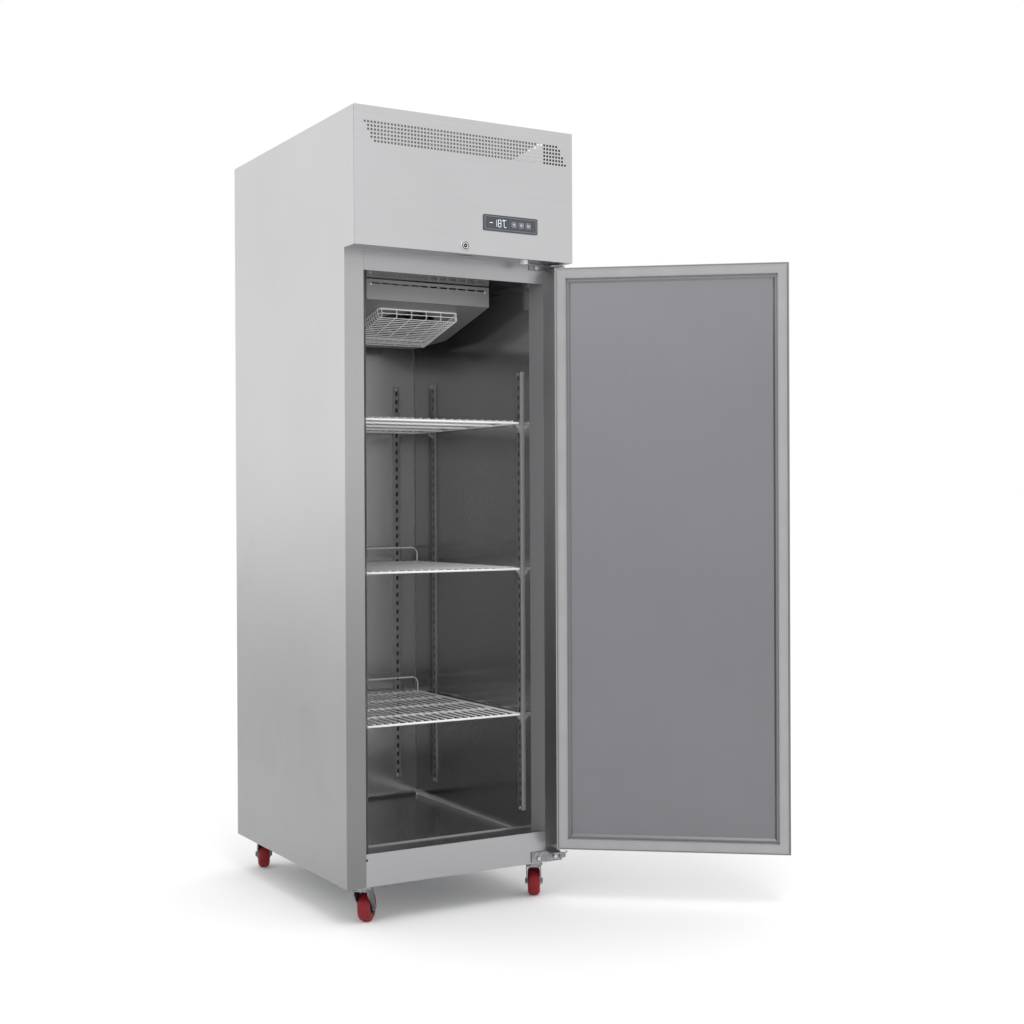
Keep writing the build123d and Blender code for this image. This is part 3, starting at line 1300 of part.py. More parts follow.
def door_gasket():
    """Magnetic gasket: four mitred lengths, each a base, a narrow neck and a flat bulb."""
    layers = (
        (0, GASKET_BASE, GASKET_WIDTH),
        (GASKET_BASE, GASKET_NECK, GASKET_NECK_WIDTH),
        (GASKET_BASE + GASKET_NECK, GASKET_BULB, GASKET_WIDTH - GASKET_CORNER),
    )
    sides = []
    corners = len(gasket_corners(GASKET_INSET))
    for index in range(corners):
        with BuildPart() as length:
            for start, thick, width in layers:
                margin = GASKET_INSET + (GASKET_WIDTH - width) / 2
                outer = gasket_corners(margin)
                inner = gasket_corners(margin + width)
                following = (index + 1) % corners
                outline = (outer[index], outer[following], inner[following], inner[index])
                extrude(polygon_section(door_face(DOOR_INNER_V - start), outline), amount=thick)
        sides.append(length)
    save_group("door_gasket", sides)


def door_grip():
    """Moulded grip cup let into the door's face, with a rim outside and a lip to pull on."""
    cavity_width = GRIP_WIDTH - 2 * GRIP_WALL
    cavity_length = GRIP_LENGTH - 2 * GRIP_WALL
    with BuildPart() as cup:
        with BuildSketch(door_face(HINGE_SETBACK)):
            with Locations((GRIP_U, GRIP_HEIGHT_ABOVE_FLOOR)):
                RectangleRounded(GRIP_WIDTH, GRIP_LENGTH, GRIP_CORNER)
        extrude(amount=GRIP_DEPTH)
        with BuildSketch(door_face(HINGE_SETBACK)):
            with Locations((GRIP_U, GRIP_HEIGHT_ABOVE_FLOOR)):
                RectangleRounded(
                    GRIP_WIDTH + 2 * GRIP_RIM,
                    GRIP_LENGTH + 2 * GRIP_RIM,
                    GRIP_CORNER + GRIP_RIM,
                )
        extrude(amount=-GRIP_RIM_THICK)
        with BuildSketch(door_face(HINGE_SETBACK - GRIP_WALL)):
            with Locations((GRIP_U, GRIP_HEIGHT_ABOVE_FLOOR)):
                Rectangle(cavity_width, cavity_length)
        extrude(amount=GRIP_DEPTH - 2 * GRIP_WALL, mode=Mode.SUBTRACT)
        with BuildSketch(door_face(HINGE_SETBACK + GRIP_RIM_THICK)):
            with Locations((GRIP_U - GRIP_LIP / 2, GRIP_HEIGHT_ABOVE_FLOOR)):
                Rectangle(cavity_width - GRIP_LIP, cavity_length)
        extrude(amount=GRIP_RIM_THICK + GRIP_WALL, mode=Mode.SUBTRACT)
    save(cup, "door_grip")


def door_fittings():
    """Steel fittings of the door: hinge bush above, closing cartridge below, and lock strike."""
    with BuildPart() as bush:
        with BuildSketch(DOOR_PLANE.offset(DOOR_TOP)):
            Circle(COLLAR_RADIUS)
        extrude(amount=BUSH_FLANGE)
        with BuildSketch(DOOR_PLANE.offset(DOOR_TOP)):
            Circle(SOCKET_RADIUS)
        extrude(amount=-TOP_SOCKET_LENGTH)
        with BuildSketch(DOOR_PLANE.offset(DOOR_TOP + BUSH_FLANGE)):
            Circle(PIN_RADIUS + PIN_CLEARANCE)
        extrude(amount=-TOP_SOCKET_LENGTH, mode=Mode.SUBTRACT)
    with BuildPart() as cartridge:
        with BuildSketch(DOOR_PLANE.offset(ARM_TOP + COLLAR_GAP)):
            Circle(COLLAR_RADIUS)
        extrude(amount=DOOR_BOTTOM - ARM_TOP - COLLAR_GAP)
        with BuildSketch(DOOR_PLANE.offset(DOOR_BOTTOM)):
            Circle(SOCKET_RADIUS)
        extrude(amount=SOCKET_LENGTH)
        with BuildSketch(DOOR_PLANE.offset(ARM_TOP)):
            Circle(PIN_RADIUS + PIN_CLEARANCE)
        extrude(amount=PIN_LENGTH + HUB_GAP, mode=Mode.SUBTRACT)
    with BuildPart() as strike:
        with BuildSketch(DOOR_PLANE.offset(DOOR_TOP)):
            with Locations((CAM_SLOT_U, CAM_SLOT_V)):
                Rectangle(CAM_SLOT_LENGTH + 2 * STRIKE_SPARE, STRIKE_WIDTH)
                Rectangle(CAM_SLOT_LENGTH, CAM_SLOT_WIDTH, mode=Mode.SUBTRACT)
        extrude(amount=STRIKE_THICK)
    save_group("door_fittings", (bush, cartridge, strike))


# Hinge brackets


def arm_outline(inner_x):
    """Plan of a hinge arm: from the frame forward, rounded about the hinge axis."""
    with BuildSketch(Plane.XY) as plan:
        with BuildLine():
            Line((inner_x, 0), (inner_x, HINGE_Y))
            start = (inner_x, HINGE_Y)
            Line(start, (HINGE_X, HINGE_Y - ARM_ROUND))
            RadiusArc((HINGE_X, HINGE_Y - ARM_ROUND), (HINGE_X + ARM_ROUND, HINGE_Y), ARM_ROUND)
            Line((HINGE_X + ARM_ROUND, HINGE_Y), (HINGE_X + ARM_ROUND, 0))
            Line((HINGE_X + ARM_ROUND, 0), (inner_x, 0))
        make_face()
    return plan.sketch


def hinge_brackets():
    """Two angle brackets on the front frame, with the pins that the door turns on."""
    with BuildPart() as lower:
        with BuildSketch(Plane.XY.offset(ARM_TOP)):
            add(arm_outline(ARM_INNER))
        extrude(amount=-ARM_THICK)
        with BuildSketch(Plane.XZ):
            with Locations(((FLANGE_INNER + FLANGE_OUTER) / 2, (FLANGE_BOTTOM + ARM_TOP) / 2)):
                Rectangle(FLANGE_OUTER - FLANGE_INNER, ARM_TOP - FLANGE_BOTTOM)
        extrude(amount=ARM_THICK)
        cylinder_between(
            (HINGE_X, HINGE_Y, ARM_TOP - ARM_THICK - HINGE_BOSS_LENGTH),
            (HINGE_X, HINGE_Y, ARM_TOP - ARM_THICK),
            HINGE_BOSS,
        )
        pin_foot = (HINGE_X, HINGE_Y, ARM_TOP)
        cylinder_between(pin_foot, (HINGE_X, HINGE_Y, ARM_TOP + PIN_LENGTH), PIN_RADIUS)
    top_arm = CANOPY_Z - TOP_ARM_RISE
    with BuildPart() as upper:
        with BuildSketch(Plane.XY.offset(top_arm)):
            add(arm_outline(ARM_INNER))
        extrude(amount=-ARM_THICK)
        with BuildSketch(Plane.XZ):
            with Locations(((FLANGE_INNER + FLANGE_OUTER) / 2, top_arm)):
                Rectangle(
                    FLANGE_OUTER - FLANGE_INNER,
                    ARM_THICK + TOP_FLANGE_DROP,
                    align=(Align.CENTER, Align.MAX),
                )
        extrude(amount=TOP_FLANGE_THICK)
        foot = top_arm - ARM_THICK
        cylinder_between((HINGE_X, HINGE_Y, foot), (HINGE_X, HINGE_Y, foot - TOP_PIN_LENGTH), PIN_RADIUS)
    save_group("hinge_brackets", (lower, upper))


def hinge_bolts():
    """Hexagon bolt heads that hold the brackets to the frame."""
    top_z = CANOPY_Z - TOP_ARM_RISE - (ARM_THICK + TOP_FLANGE_DROP) / 2
    with BuildPart() as bolts:
        with BuildSketch(Plane.XZ.offset(ARM_THICK)):
            with Locations(*[(x, BASE_HEIGHT + BOLT_LIFT) for x in BOLT_PLACES]):
                RegularPolygon(BOLT_ACROSS / 2, HEX_SIDES, major_radius=False)
        extrude(amount=BOLT_HEAD)
        with BuildSketch(Plane.XZ.offset(TOP_FLANGE_THICK)):
            with Locations((BOLT_PLACES[0], top_z)):
                RegularPolygon(BOLT_ACROSS / 2, HEX_SIDES, major_radius=False)
        extrude(amount=BOLT_HEAD)
    save(bolts, "hinge_bolts")


# Machine compartment


def compressor():
    """Hermetic compressor: a domed can with a welded seam, on a foot plate, with a terminal box."""
    base = MACHINE_Z + FOOT_HEIGHT
    can = base + COMPRESSOR_PLATE
    with BuildPart() as unit:
        with BuildSketch(Plane.XY.offset(base)):
            with Locations((COMPRESSOR_X, COMPRESSOR_Y)):
                RectangleRounded(
                    FOOT_SPACING_X + 2 * FOOT_RADIUS,
                    FOOT_SPACING_Y + 2 * FOOT_RADIUS,
                    FOOT_RADIUS,
                )
        extrude(amount=COMPRESSOR_PLATE)
        with BuildSketch(Plane.XY.offset(can)):
            with Locations((COMPRESSOR_X, COMPRESSOR_Y)):
                Circle(COMPRESSOR_RADIUS)
        extrude(amount=COMPRESSOR_HEIGHT)
        chamfer(unit.faces().sort_by(Axis.Z)[-1].edges(), length=COMPRESSOR_DOME)
        with BuildSketch(Plane.XY.offset(can + COMPRESSOR_SEAM_HEIGHT)):
            with Locations((COMPRESSOR_X, COMPRESSOR_Y)):
                Circle(COMPRESSOR_RADIUS + COMPRESSOR_SEAM)
        extrude(amount=COMPRESSOR_SEAM)
        with BuildSketch(Plane.XY.offset(can + COMPRESSOR_SEAM_HEIGHT - TERMINAL_HEIGHT / 2)):
            with Locations((COMPRESSOR_X - COMPRESSOR_RADIUS, COMPRESSOR_Y)):
                Rectangle(TERMINAL_DEPTH, TERMINAL_WIDTH)
        extrude(amount=TERMINAL_HEIGHT)
    save(unit, "compressor")


def compressor_feet():
    """Rubber feet between the compressor's plate and the tray."""
    with BuildPart() as feet:
        with BuildSketch(Plane.XY.offset(MACHINE_Z)):
            with Locations((COMPRESSOR_X, COMPRESSOR_Y)):
                with GridLocations(FOOT_SPACING_X, FOOT_SPACING_Y, 2, 2):
                    RegularPolygon(FOOT_RADIUS, FOOT_SIDES)
        extrude(amount=FOOT_HEIGHT)
    save(feet, "compressor_feet")


def condenser():
    """Condenser coil behind the fascia: fin pack on two legs, and a shroud with the fan's opening."""
    foot = MACHINE_Z + CONDENSER_LEG
    fins = int((CONDENSER_WIDTH - CONDENSER_FIN_PITCH) / CONDENSER_FIN_PITCH)
    front = CONDENSER_Y - CONDENSER_DEPTH / 2
    back = CONDENSER_Y + CONDENSER_DEPTH / 2
    with BuildPart() as coil:
        with BuildSketch(Plane.XZ.offset(-front)):
            with Locations((CONDENSER_X, foot + CONDENSER_HEIGHT / 2)):
                Rectangle(CONDENSER_WIDTH, CONDENSER_HEIGHT)
        extrude(amount=-CONDENSER_DEPTH)
        with BuildSketch(Plane.XZ.offset(-front)):
            with Locations((CONDENSER_X, foot + CONDENSER_HEIGHT / 2)):
                with GridLocations(CONDENSER_FIN_PITCH, 0, fins, 1):
                    Rectangle(CONDENSER_FIN_CUT, CONDENSER_HEIGHT - CONDENSER_FIN_PITCH)
        extrude(amount=-CONDENSER_FIN_CUT, mode=Mode.SUBTRACT)
        with BuildSketch(Plane.XY.offset(MACHINE_Z)):
            with Locations((CONDENSER_X, CONDENSER_Y)):
                with GridLocations(CONDENSER_WIDTH - CONDENSER_LEG, 0, 2, 1):
                    Rectangle(CONDENSER_LEG, CONDENSER_DEPTH)
        extrude(amount=CONDENSER_LEG)
        with BuildSketch(Plane.XZ.offset(-back)):
            with Locations((CONDENSER_X, foot + CONDENSER_HEIGHT / 2)):
                Rectangle(CONDENSER_WIDTH, CONDENSER_HEIGHT)
                Rectangle(
                    CONDENSER_WIDTH - 2 * SHROUD_WALL,
                    CONDENSER_HEIGHT - 2 * SHROUD_WALL,
                    mode=Mode.SUBTRACT,
                )
        extrude(amount=-SHROUD_DEPTH)
        with BuildSketch(Plane.XZ.offset(-back - SHROUD_DEPTH + SHROUD_WALL)):
            with Locations((CONDENSER_X, foot + CONDENSER_HEIGHT / 2)):
                Rectangle(CONDENSER_WIDTH, CONDENSER_HEIGHT)
                Circle(FAN_HOLE, mode=Mode.SUBTRACT)
        extrude(amount=-SHROUD_WALL)
    save(coil, "condenser")


def control_box():
    """Electrical box on the tray, with its lid."""
    with BuildPart() as box:
        with BuildSketch(Plane.XY.offset(MACHINE_Z)):
            with Locations((CONTROL_BOX_X, CONTROL_BOX_Y)):
                Rectangle(CONTROL_BOX_WIDTH, CONTROL_BOX_DEPTH)
        extrude(amount=CONTROL_BOX_HEIGHT)
        with BuildSketch(Plane.XY.offset(MACHINE_Z + CONTROL_BOX_HEIGHT)):
            with Locations((CONTROL_BOX_X, CONTROL_BOX_Y)):
                Rectangle(CONTROL_BOX_WIDTH + CONTROL_BOX_LID, CONTROL_BOX_DEPTH + CONTROL_BOX_LID)
        extrude(amount=CONTROL_BOX_LID)
    save(box, "control_box")


def pipe_along(points, radius):
    """Copper pipe along a route with one bend radius, added to the part being built."""
    with BuildLine() as route:
        FilletPolyline(*points, radius=PIPE_BEND)
    run = Vector(*points[1]) - Vector(*points[0])
    with BuildSketch(Plane(origin=points[0], z_dir=run)) as section:
        RegularPolygon(radius, PIPE_SIDES)
    sweep(section.sketch, path=route.line)


def refrigerant_pipes():
    """Copper lines from the coil up to the compressor and the condenser, with the filter drier."""
    run_z = MACHINE_Z + PIPE_RUN_Z
    second_x = PIPE_DROP_X - PIPE_SPACING
    suction_end = (COMPRESSOR_X + COMPRESSOR_RADIUS, COMPRESSOR_Y, run_z)
    with BuildPart() as suction:
        pipe_along(
            (
                (second_x, PIPE_DROP_Y, COIL_TOP_Z),
                (second_x, PIPE_DROP_Y, run_z),
                suction_end,
            ),
            PIPE_RADIUS,
        )
    liquid_z = run_z + PIPE_SPACING
    shroud_back = CONDENSER_Y + CONDENSER_DEPTH / 2
    with BuildPart() as liquid:
        pipe_along(
            (
                (PIPE_DROP_X, PIPE_DROP_Y, COIL_TOP_Z),
                (PIPE_DROP_X, PIPE_DROP_Y, liquid_z),
                (LIQUID_TURN_X, PIPE_DROP_Y, liquid_z),
                (LIQUID_TURN_X, CONDENSER_Y, liquid_z),
                (CONDENSER_X + CONDENSER_WIDTH / 2, CONDENSER_Y, liquid_z),
            ),
            PIPE_RADIUS,
        )
        middle = (PIPE_DROP_Y + shroud_back) / 2
        cylinder_between(
            (LIQUID_TURN_X, middle - DRIER_LENGTH / 2, liquid_z),
            (LIQUID_TURN_X, middle + DRIER_LENGTH / 2, liquid_z),
            DRIER_RADIUS,
        )
    save_group("refrigerant_pipes", (suction, liquid))


def cable_gland():
    """Cable gland in the back panel: a hexagon nut outside, a neck through the sheet and a bore."""
    with BuildPart() as gland:
        with BuildSketch(Plane.XZ.offset(-BACK_SHEET_Y)):
            with Locations((GLAND_X, GLAND_Z)):
                RegularPolygon(GLAND_ACROSS / 2, HEX_SIDES, major_radius=False)
        extrude(amount=-GLAND_LENGTH / 2)
        with BuildSketch(Plane.XZ.offset(GLAND_INSIDE - BACK_SHEET_Y)):
            with Locations((GLAND_X, GLAND_Z)):
                Circle(GLAND_RADIUS)
        extrude(amount=-GLAND_LENGTH)
        with BuildSketch(Plane.XZ.offset(GLAND_INSIDE - BACK_SHEET_Y)):
            with Locations((GLAND_X, GLAND_Z)):
                Circle(GLAND_BORE)
        extrude(amount=-GLAND_LENGTH, mode=Mode.SUBTRACT)
    save(gland, "cable_gland")


# Casters


def caster_centre(corner):
    """Point on the floor under the swivel of the caster at a named corner."""
    side = -1 if corner.endswith("left") else 1
    depth = CASTER_FRONT if corner.startswith("front") else CASTER_REAR
    return Vector(side * CASTER_X, depth, 0)


def trail_direction(corner):
    """Way that the caster's wheel trails from its swivel."""
    angle = radians(TRAIL_ANGLES[corner])
    return Vector(cos(angle), sin(angle), 0)


def fork_plane(corner):
    """Upright plane through the swivel: x along the trail, y up."""
    trail = trail_direction(corner)
    return Plane(origin=caster_centre(corner), x_dir=trail, z_dir=trail.cross(Vector(0, 0, 1)))


def wheel_plane(corner):
    """Upright plane through the axle: x along the axle, y up."""
    trail = trail_direction(corner)
    centre = caster_centre(corner) + trail * CASTER_TRAIL + Vector(0, 0, WHEEL_RADIUS)
    return Plane(origin=centre, x_dir=Vector(0, 0, 1).cross(trail), z_dir=trail)


def caster_plates():
    """Mounting plates under the base, each with the upper race and the kingpin of its caster."""
    race_bottom = FORK_TOP + RACE_HEIGHT + RACE_GAP
    plate_bottom = BASE_HEIGHT - CASTER_PLATE_THICK
    head_z = FORK_TOP - FORK_SHEET - 2 * RACE_GAP - FORK_SHEET
    with BuildPart() as plates:
        for corner in TRAIL_ANGLES:
            centre = caster_centre(corner)
            with BuildSketch(Plane(origin=centre + Vector(0, 0, plate_bottom), z_dir=(0, 0, 1))):
                Rectangle(CASTER_PLATE, CASTER_PLATE)
            extrude(amount=CASTER_PLATE_THICK)
            with BuildSketch(Plane(origin=centre + Vector(0, 0, race_bottom), z_dir=(0, 0, 1))):
                Circle(RACE_RADIUS)
            extrude(amount=plate_bottom - race_bottom)
            with BuildSketch(Plane(origin=centre + Vector(0, 0, head_z), z_dir=(0, 0, 1))):
                Circle(KINGPIN_RADIUS)
            extrude(amount=race_bottom - head_z)
            with BuildSketch(Plane(origin=centre + Vector(0, 0, head_z), z_dir=(0, 0, 1))):
                RegularPolygon(KINGPIN_RADIUS + FORK_SHEET, HEX_SIDES)
            extrude(amount=FORK_SHEET)
    save(plates, "caster_plates")


def caster_fork(corner):
    """Swivel fork: lower race, crown, two legs that narrow to the axle, and the axle with nuts."""
    plane = fork_plane(corner)
    leg_inside = WHEEL_WIDTH / 2 + FORK_GAP
    leg_outside = leg_inside + FORK_SHEET
    centre = caster_centre(corner)
    with BuildPart() as fork:
        for side in (-1, 1):
            start = leg_inside if side > 0 else -leg_outside
            with BuildSketch(plane.offset(start)):
                with BuildLine():
                    Line((-FORK_CROWN_HALF, FORK_TOP), (FORK_CROWN_HALF, FORK_TOP))
                    Line(
                        (FORK_CROWN_HALF, FORK_TOP),
                        (CASTER_TRAIL + FORK_AXLE_ROUND, WHEEL_RADIUS),
                    )
                    RadiusArc(
                        (CASTER_TRAIL + FORK_AXLE_ROUND, WHEEL_RADIUS),
                        (CASTER_TRAIL - FORK_AXLE_ROUND, WHEEL_RADIUS),
                        FORK_AXLE_ROUND,
                    )
                    Line(
                        (CASTER_TRAIL - FORK_AXLE_ROUND, WHEEL_RADIUS),
                        (-FORK_CROWN_HALF, FORK_TOP - FORK_AXLE_ROUND),
                    )
                    Line((-FORK_CROWN_HALF, FORK_TOP - FORK_AXLE_ROUND), (-FORK_CROWN_HALF, FORK_TOP))
                make_face()
            extrude(amount=FORK_SHEET)
        with BuildSketch(plane.offset(-leg_inside)):
            with Locations((0, FORK_TOP - FORK_SHEET / 2)):
                Rectangle(2 * FORK_CROWN_HALF, FORK_SHEET)
        extrude(amount=2 * leg_inside)
        with BuildSketch(Plane(origin=centre + Vector(0, 0, FORK_TOP), z_dir=(0, 0, 1))):
            Circle(RACE_RADIUS)
        extrude(amount=RACE_HEIGHT)
        with BuildSketch(Plane(origin=centre + Vector(0, 0, FORK_TOP - 2 * FORK_SHEET), z_dir=(0, 0, 1))):
            Circle(KINGPIN_RADIUS + KINGPIN_CLEARANCE)
        extrude(amount=RACE_HEIGHT + 3 * FORK_SHEET, mode=Mode.SUBTRACT)
        axle = Plane(origin=wheel_plane(corner).origin, z_dir=wheel_plane(corner).x_dir)
        with BuildSketch(axle):
            Circle(AXLE_RADIUS)
        extrude(amount=leg_outside, both=True)
        with BuildSketch(axle.offset(leg_outside), axle.offset(-leg_outside - AXLE_NUT_THICK)):
            RegularPolygon(AXLE_NUT, HEX_SIDES, major_radius=False)
        extrude(amount=AXLE_NUT_THICK)
    save(fork, f"fork_{corner}")


def caster_hub(corner):
    """Moulded wheel hub: rim and boss with a recess on each face, bored for the axle."""
    plane = wheel_plane(corner)
    half = HUB_WIDTH / 2
    outline = (
        (-half, AXLE_RADIUS + AXLE_CLEARANCE),
        (-half, HUB_BOSS_RADIUS),
        (-half + HUB_RECESS, HUB_BOSS_RADIUS),
        (-half + HUB_RECESS, HUB_RECESS_RADIUS),
        (-half, HUB_RECESS_RADIUS),
        (-half, HUB_RADIUS),
        (half, HUB_RADIUS),
        (half, HUB_RECESS_RADIUS),
        (half - HUB_RECESS, HUB_RECESS_RADIUS),
        (half - HUB_RECESS, HUB_BOSS_RADIUS),
        (half, HUB_BOSS_RADIUS),
        (half, AXLE_RADIUS + AXLE_CLEARANCE),
    )
    with BuildPart() as hub:
        revolve(polygon_section(plane, outline), axis=Axis(plane.origin, plane.x_dir))
    save(hub, f"hub_{corner}")


def caster_tyre(corner):
    """Tyre with a flat tread and sloped shoulders."""
    plane = wheel_plane(corner)
    outline = (
        (-WHEEL_WIDTH / 2, HUB_RADIUS),
        (-WHEEL_WIDTH / 2, WHEEL_RADIUS - 3 * SHOULDER_DROP),
        (-SHOULDER_WIDTH / 2, WHEEL_RADIUS - SHOULDER_DROP),
        (-TREAD_WIDTH / 2, WHEEL_RADIUS),
        (TREAD_WIDTH / 2, WHEEL_RADIUS),
        (SHOULDER_WIDTH / 2, WHEEL_RADIUS - SHOULDER_DROP),
        (WHEEL_WIDTH / 2, WHEEL_RADIUS - 3 * SHOULDER_DROP),
        (WHEEL_WIDTH / 2, HUB_RADIUS),
    )
    with BuildPart() as tyre:
        revolve(polygon_section(plane, outline), axis=Axis(plane.origin, plane.x_dir))
    save(tyre, f"tyre_{corner}")


side_panel("side_panel_left", -1)
side_panel("side_panel_right", 1)
back_panel()
base_panel()
kick_panel()
header_panel()
machine_tray()
insulation()
liner()
breaker_strips()
floor_pan()
pilasters()
shelf_clips()
for shelf_name, shelf_level in zip(("shelf_lower", "shelf_middle", "shelf_upper"), SHELF_LEVELS):
    wire_shelf(shelf_name, shelf_level)
evaporator_cover()
fan_guard()
fan("evaporator_fan", EVAPORATOR_FAN_PLANE, FAN_RADIUS, FAN_HUB, BLADE_CHORD)
fan("condenser_fan", CONDENSER_FAN_PLANE, FAN_RADIUS, FAN_HUB, BLADE_CHORD)
evaporator_motor = motor_on_strap(EVAPORATOR_FAN_PLANE, STRAP_SPAN, SHEET + SEAT_GAP - FAN_SET_BACK)
condenser_motor = motor_on_strap(CONDENSER_FAN_PLANE, STRAP_SPAN, 0)
save_group("fan_motors", (evaporator_motor, condenser_motor))
evaporator_coil()
drain_pipe()
canopy()
fascia_panel()
controller()
for key_index in range(len(KEY_PLACES)):
    controller_key(key_index)
lock_body()
lock_cam()
door_switch()
door_skin()
door_liner()
door_foam()
door_gasket()
door_grip()
door_fittings()
hinge_brackets()
hinge_bolts()
compressor()
compressor_feet()
condenser()
control_box()
refrigerant_pipes()
cable_gland()
caster_plates()
for caster_corner in TRAIL_ANGLES:
    caster_fork(caster_corner)
    caster_hub(caster_corner)
    caster_tyre(caster_corner)
write_pieces()
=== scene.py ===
"""Upright steel freezer on casters: finishes, small details and studio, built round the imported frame.

All lengths are in metres. X runs right, Y to the back and Z up. Sizes and places are given from the
point on the floor at the middle of the cabinet's width, in the plane of its front frame; ORIGIN is
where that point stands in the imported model.
"""

from __future__ import annotations

import json
import logging
import math
from contextlib import contextmanager
from dataclasses import dataclass
from enum import Enum
from typing import Callable, Iterator, Sequence

import bpy
from mathutils import Matrix, Vector


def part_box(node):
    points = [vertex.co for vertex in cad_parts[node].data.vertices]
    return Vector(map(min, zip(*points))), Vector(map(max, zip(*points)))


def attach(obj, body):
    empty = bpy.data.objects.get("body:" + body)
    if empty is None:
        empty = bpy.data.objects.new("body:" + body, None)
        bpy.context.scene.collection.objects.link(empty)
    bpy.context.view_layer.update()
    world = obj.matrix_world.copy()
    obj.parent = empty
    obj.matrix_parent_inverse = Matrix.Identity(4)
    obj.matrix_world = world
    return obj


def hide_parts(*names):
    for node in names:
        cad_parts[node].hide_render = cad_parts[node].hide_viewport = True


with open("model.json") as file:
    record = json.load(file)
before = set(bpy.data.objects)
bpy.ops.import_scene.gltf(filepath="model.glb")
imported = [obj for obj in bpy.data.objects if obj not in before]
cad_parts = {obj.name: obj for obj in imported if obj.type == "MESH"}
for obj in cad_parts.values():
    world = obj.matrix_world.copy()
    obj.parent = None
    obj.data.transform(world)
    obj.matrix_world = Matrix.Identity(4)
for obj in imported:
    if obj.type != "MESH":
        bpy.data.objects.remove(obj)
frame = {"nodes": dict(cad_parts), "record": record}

log = logging.getLogger("freezer")
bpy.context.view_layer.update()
KICK_LOW, KICK_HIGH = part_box("kick_panel")
ORIGIN = Vector(((KICK_LOW[0] + KICK_HIGH[0]) / 2, KICK_LOW[1], 0.0))

Colour = tuple[float, float, float]
Point = tuple[float, float, float]
Pair = tuple[float, float]
Material = bpy.types.Material
Node = bpy.types.Node
Piece = bpy.types.Object
Socket = bpy.types.NodeSocket
Tree = bpy.types.NodeTree

UP = (0.0, 0.0, 1.0)
FORWARD = (0.0, -1.0, 0.0)
BACKWARD = (0.0, 1.0, 0.0)
SIDES = (-1.0, 1.0)
CORNERS = ("front_left", "front_right", "rear_left", "rear_right")
SQUARELY = 0.9  # a face looks along an axis where its normal's share of that axis is above this


# Node building


def fill(tree: Tree, socket: Socket, value: float | Point | Socket) -> None:
    """Feed an input from an output, or give it a fixed value.

    Args:
        tree: The tree that the input is in.
        socket: The input.
        value: The output or the value.
    """
    if isinstance(value, Socket):
        tree.links.new(value, socket)
    else:
        socket.default_value = value


def add_node(tree: Tree, kind: str, settings: dict[str, str | Tree] | None = None,
             **values: float | Point | Socket) -> Node:
    """Add a shader node, choose its settings and fill its inputs.

    Args:
        tree: The tree that it goes into.
        kind: Its type, without the leading ShaderNode.
        settings: Its settings, which decide what inputs it has.
        values: Value or output for each input, by the input's name with underscores.

    Returns:
        The node.
    """
    node = tree.nodes.new(f"ShaderNode{kind}")
    for key, setting in (settings or {}).items():
        setattr(node, key, setting)
    for key, value in values.items():
        fill(tree, node.inputs[key.replace("_", " ")], value)
    return node


def calculate(tree: Tree, kind: str, operation: str, *values: float | Socket) -> Socket:
    """Add a node that calculates with numbers or vectors.

    Args:
        tree: The tree that it goes into.
        kind: Math or VectorMath.
        operation: What it does.
        values: Its inputs in order.

    Returns:
        The output with the result.
    """
    node = add_node(tree, kind, {"operation": operation})
    for socket, value in zip(node.inputs, values):
        fill(tree, socket, value)
    return node.outputs[0]


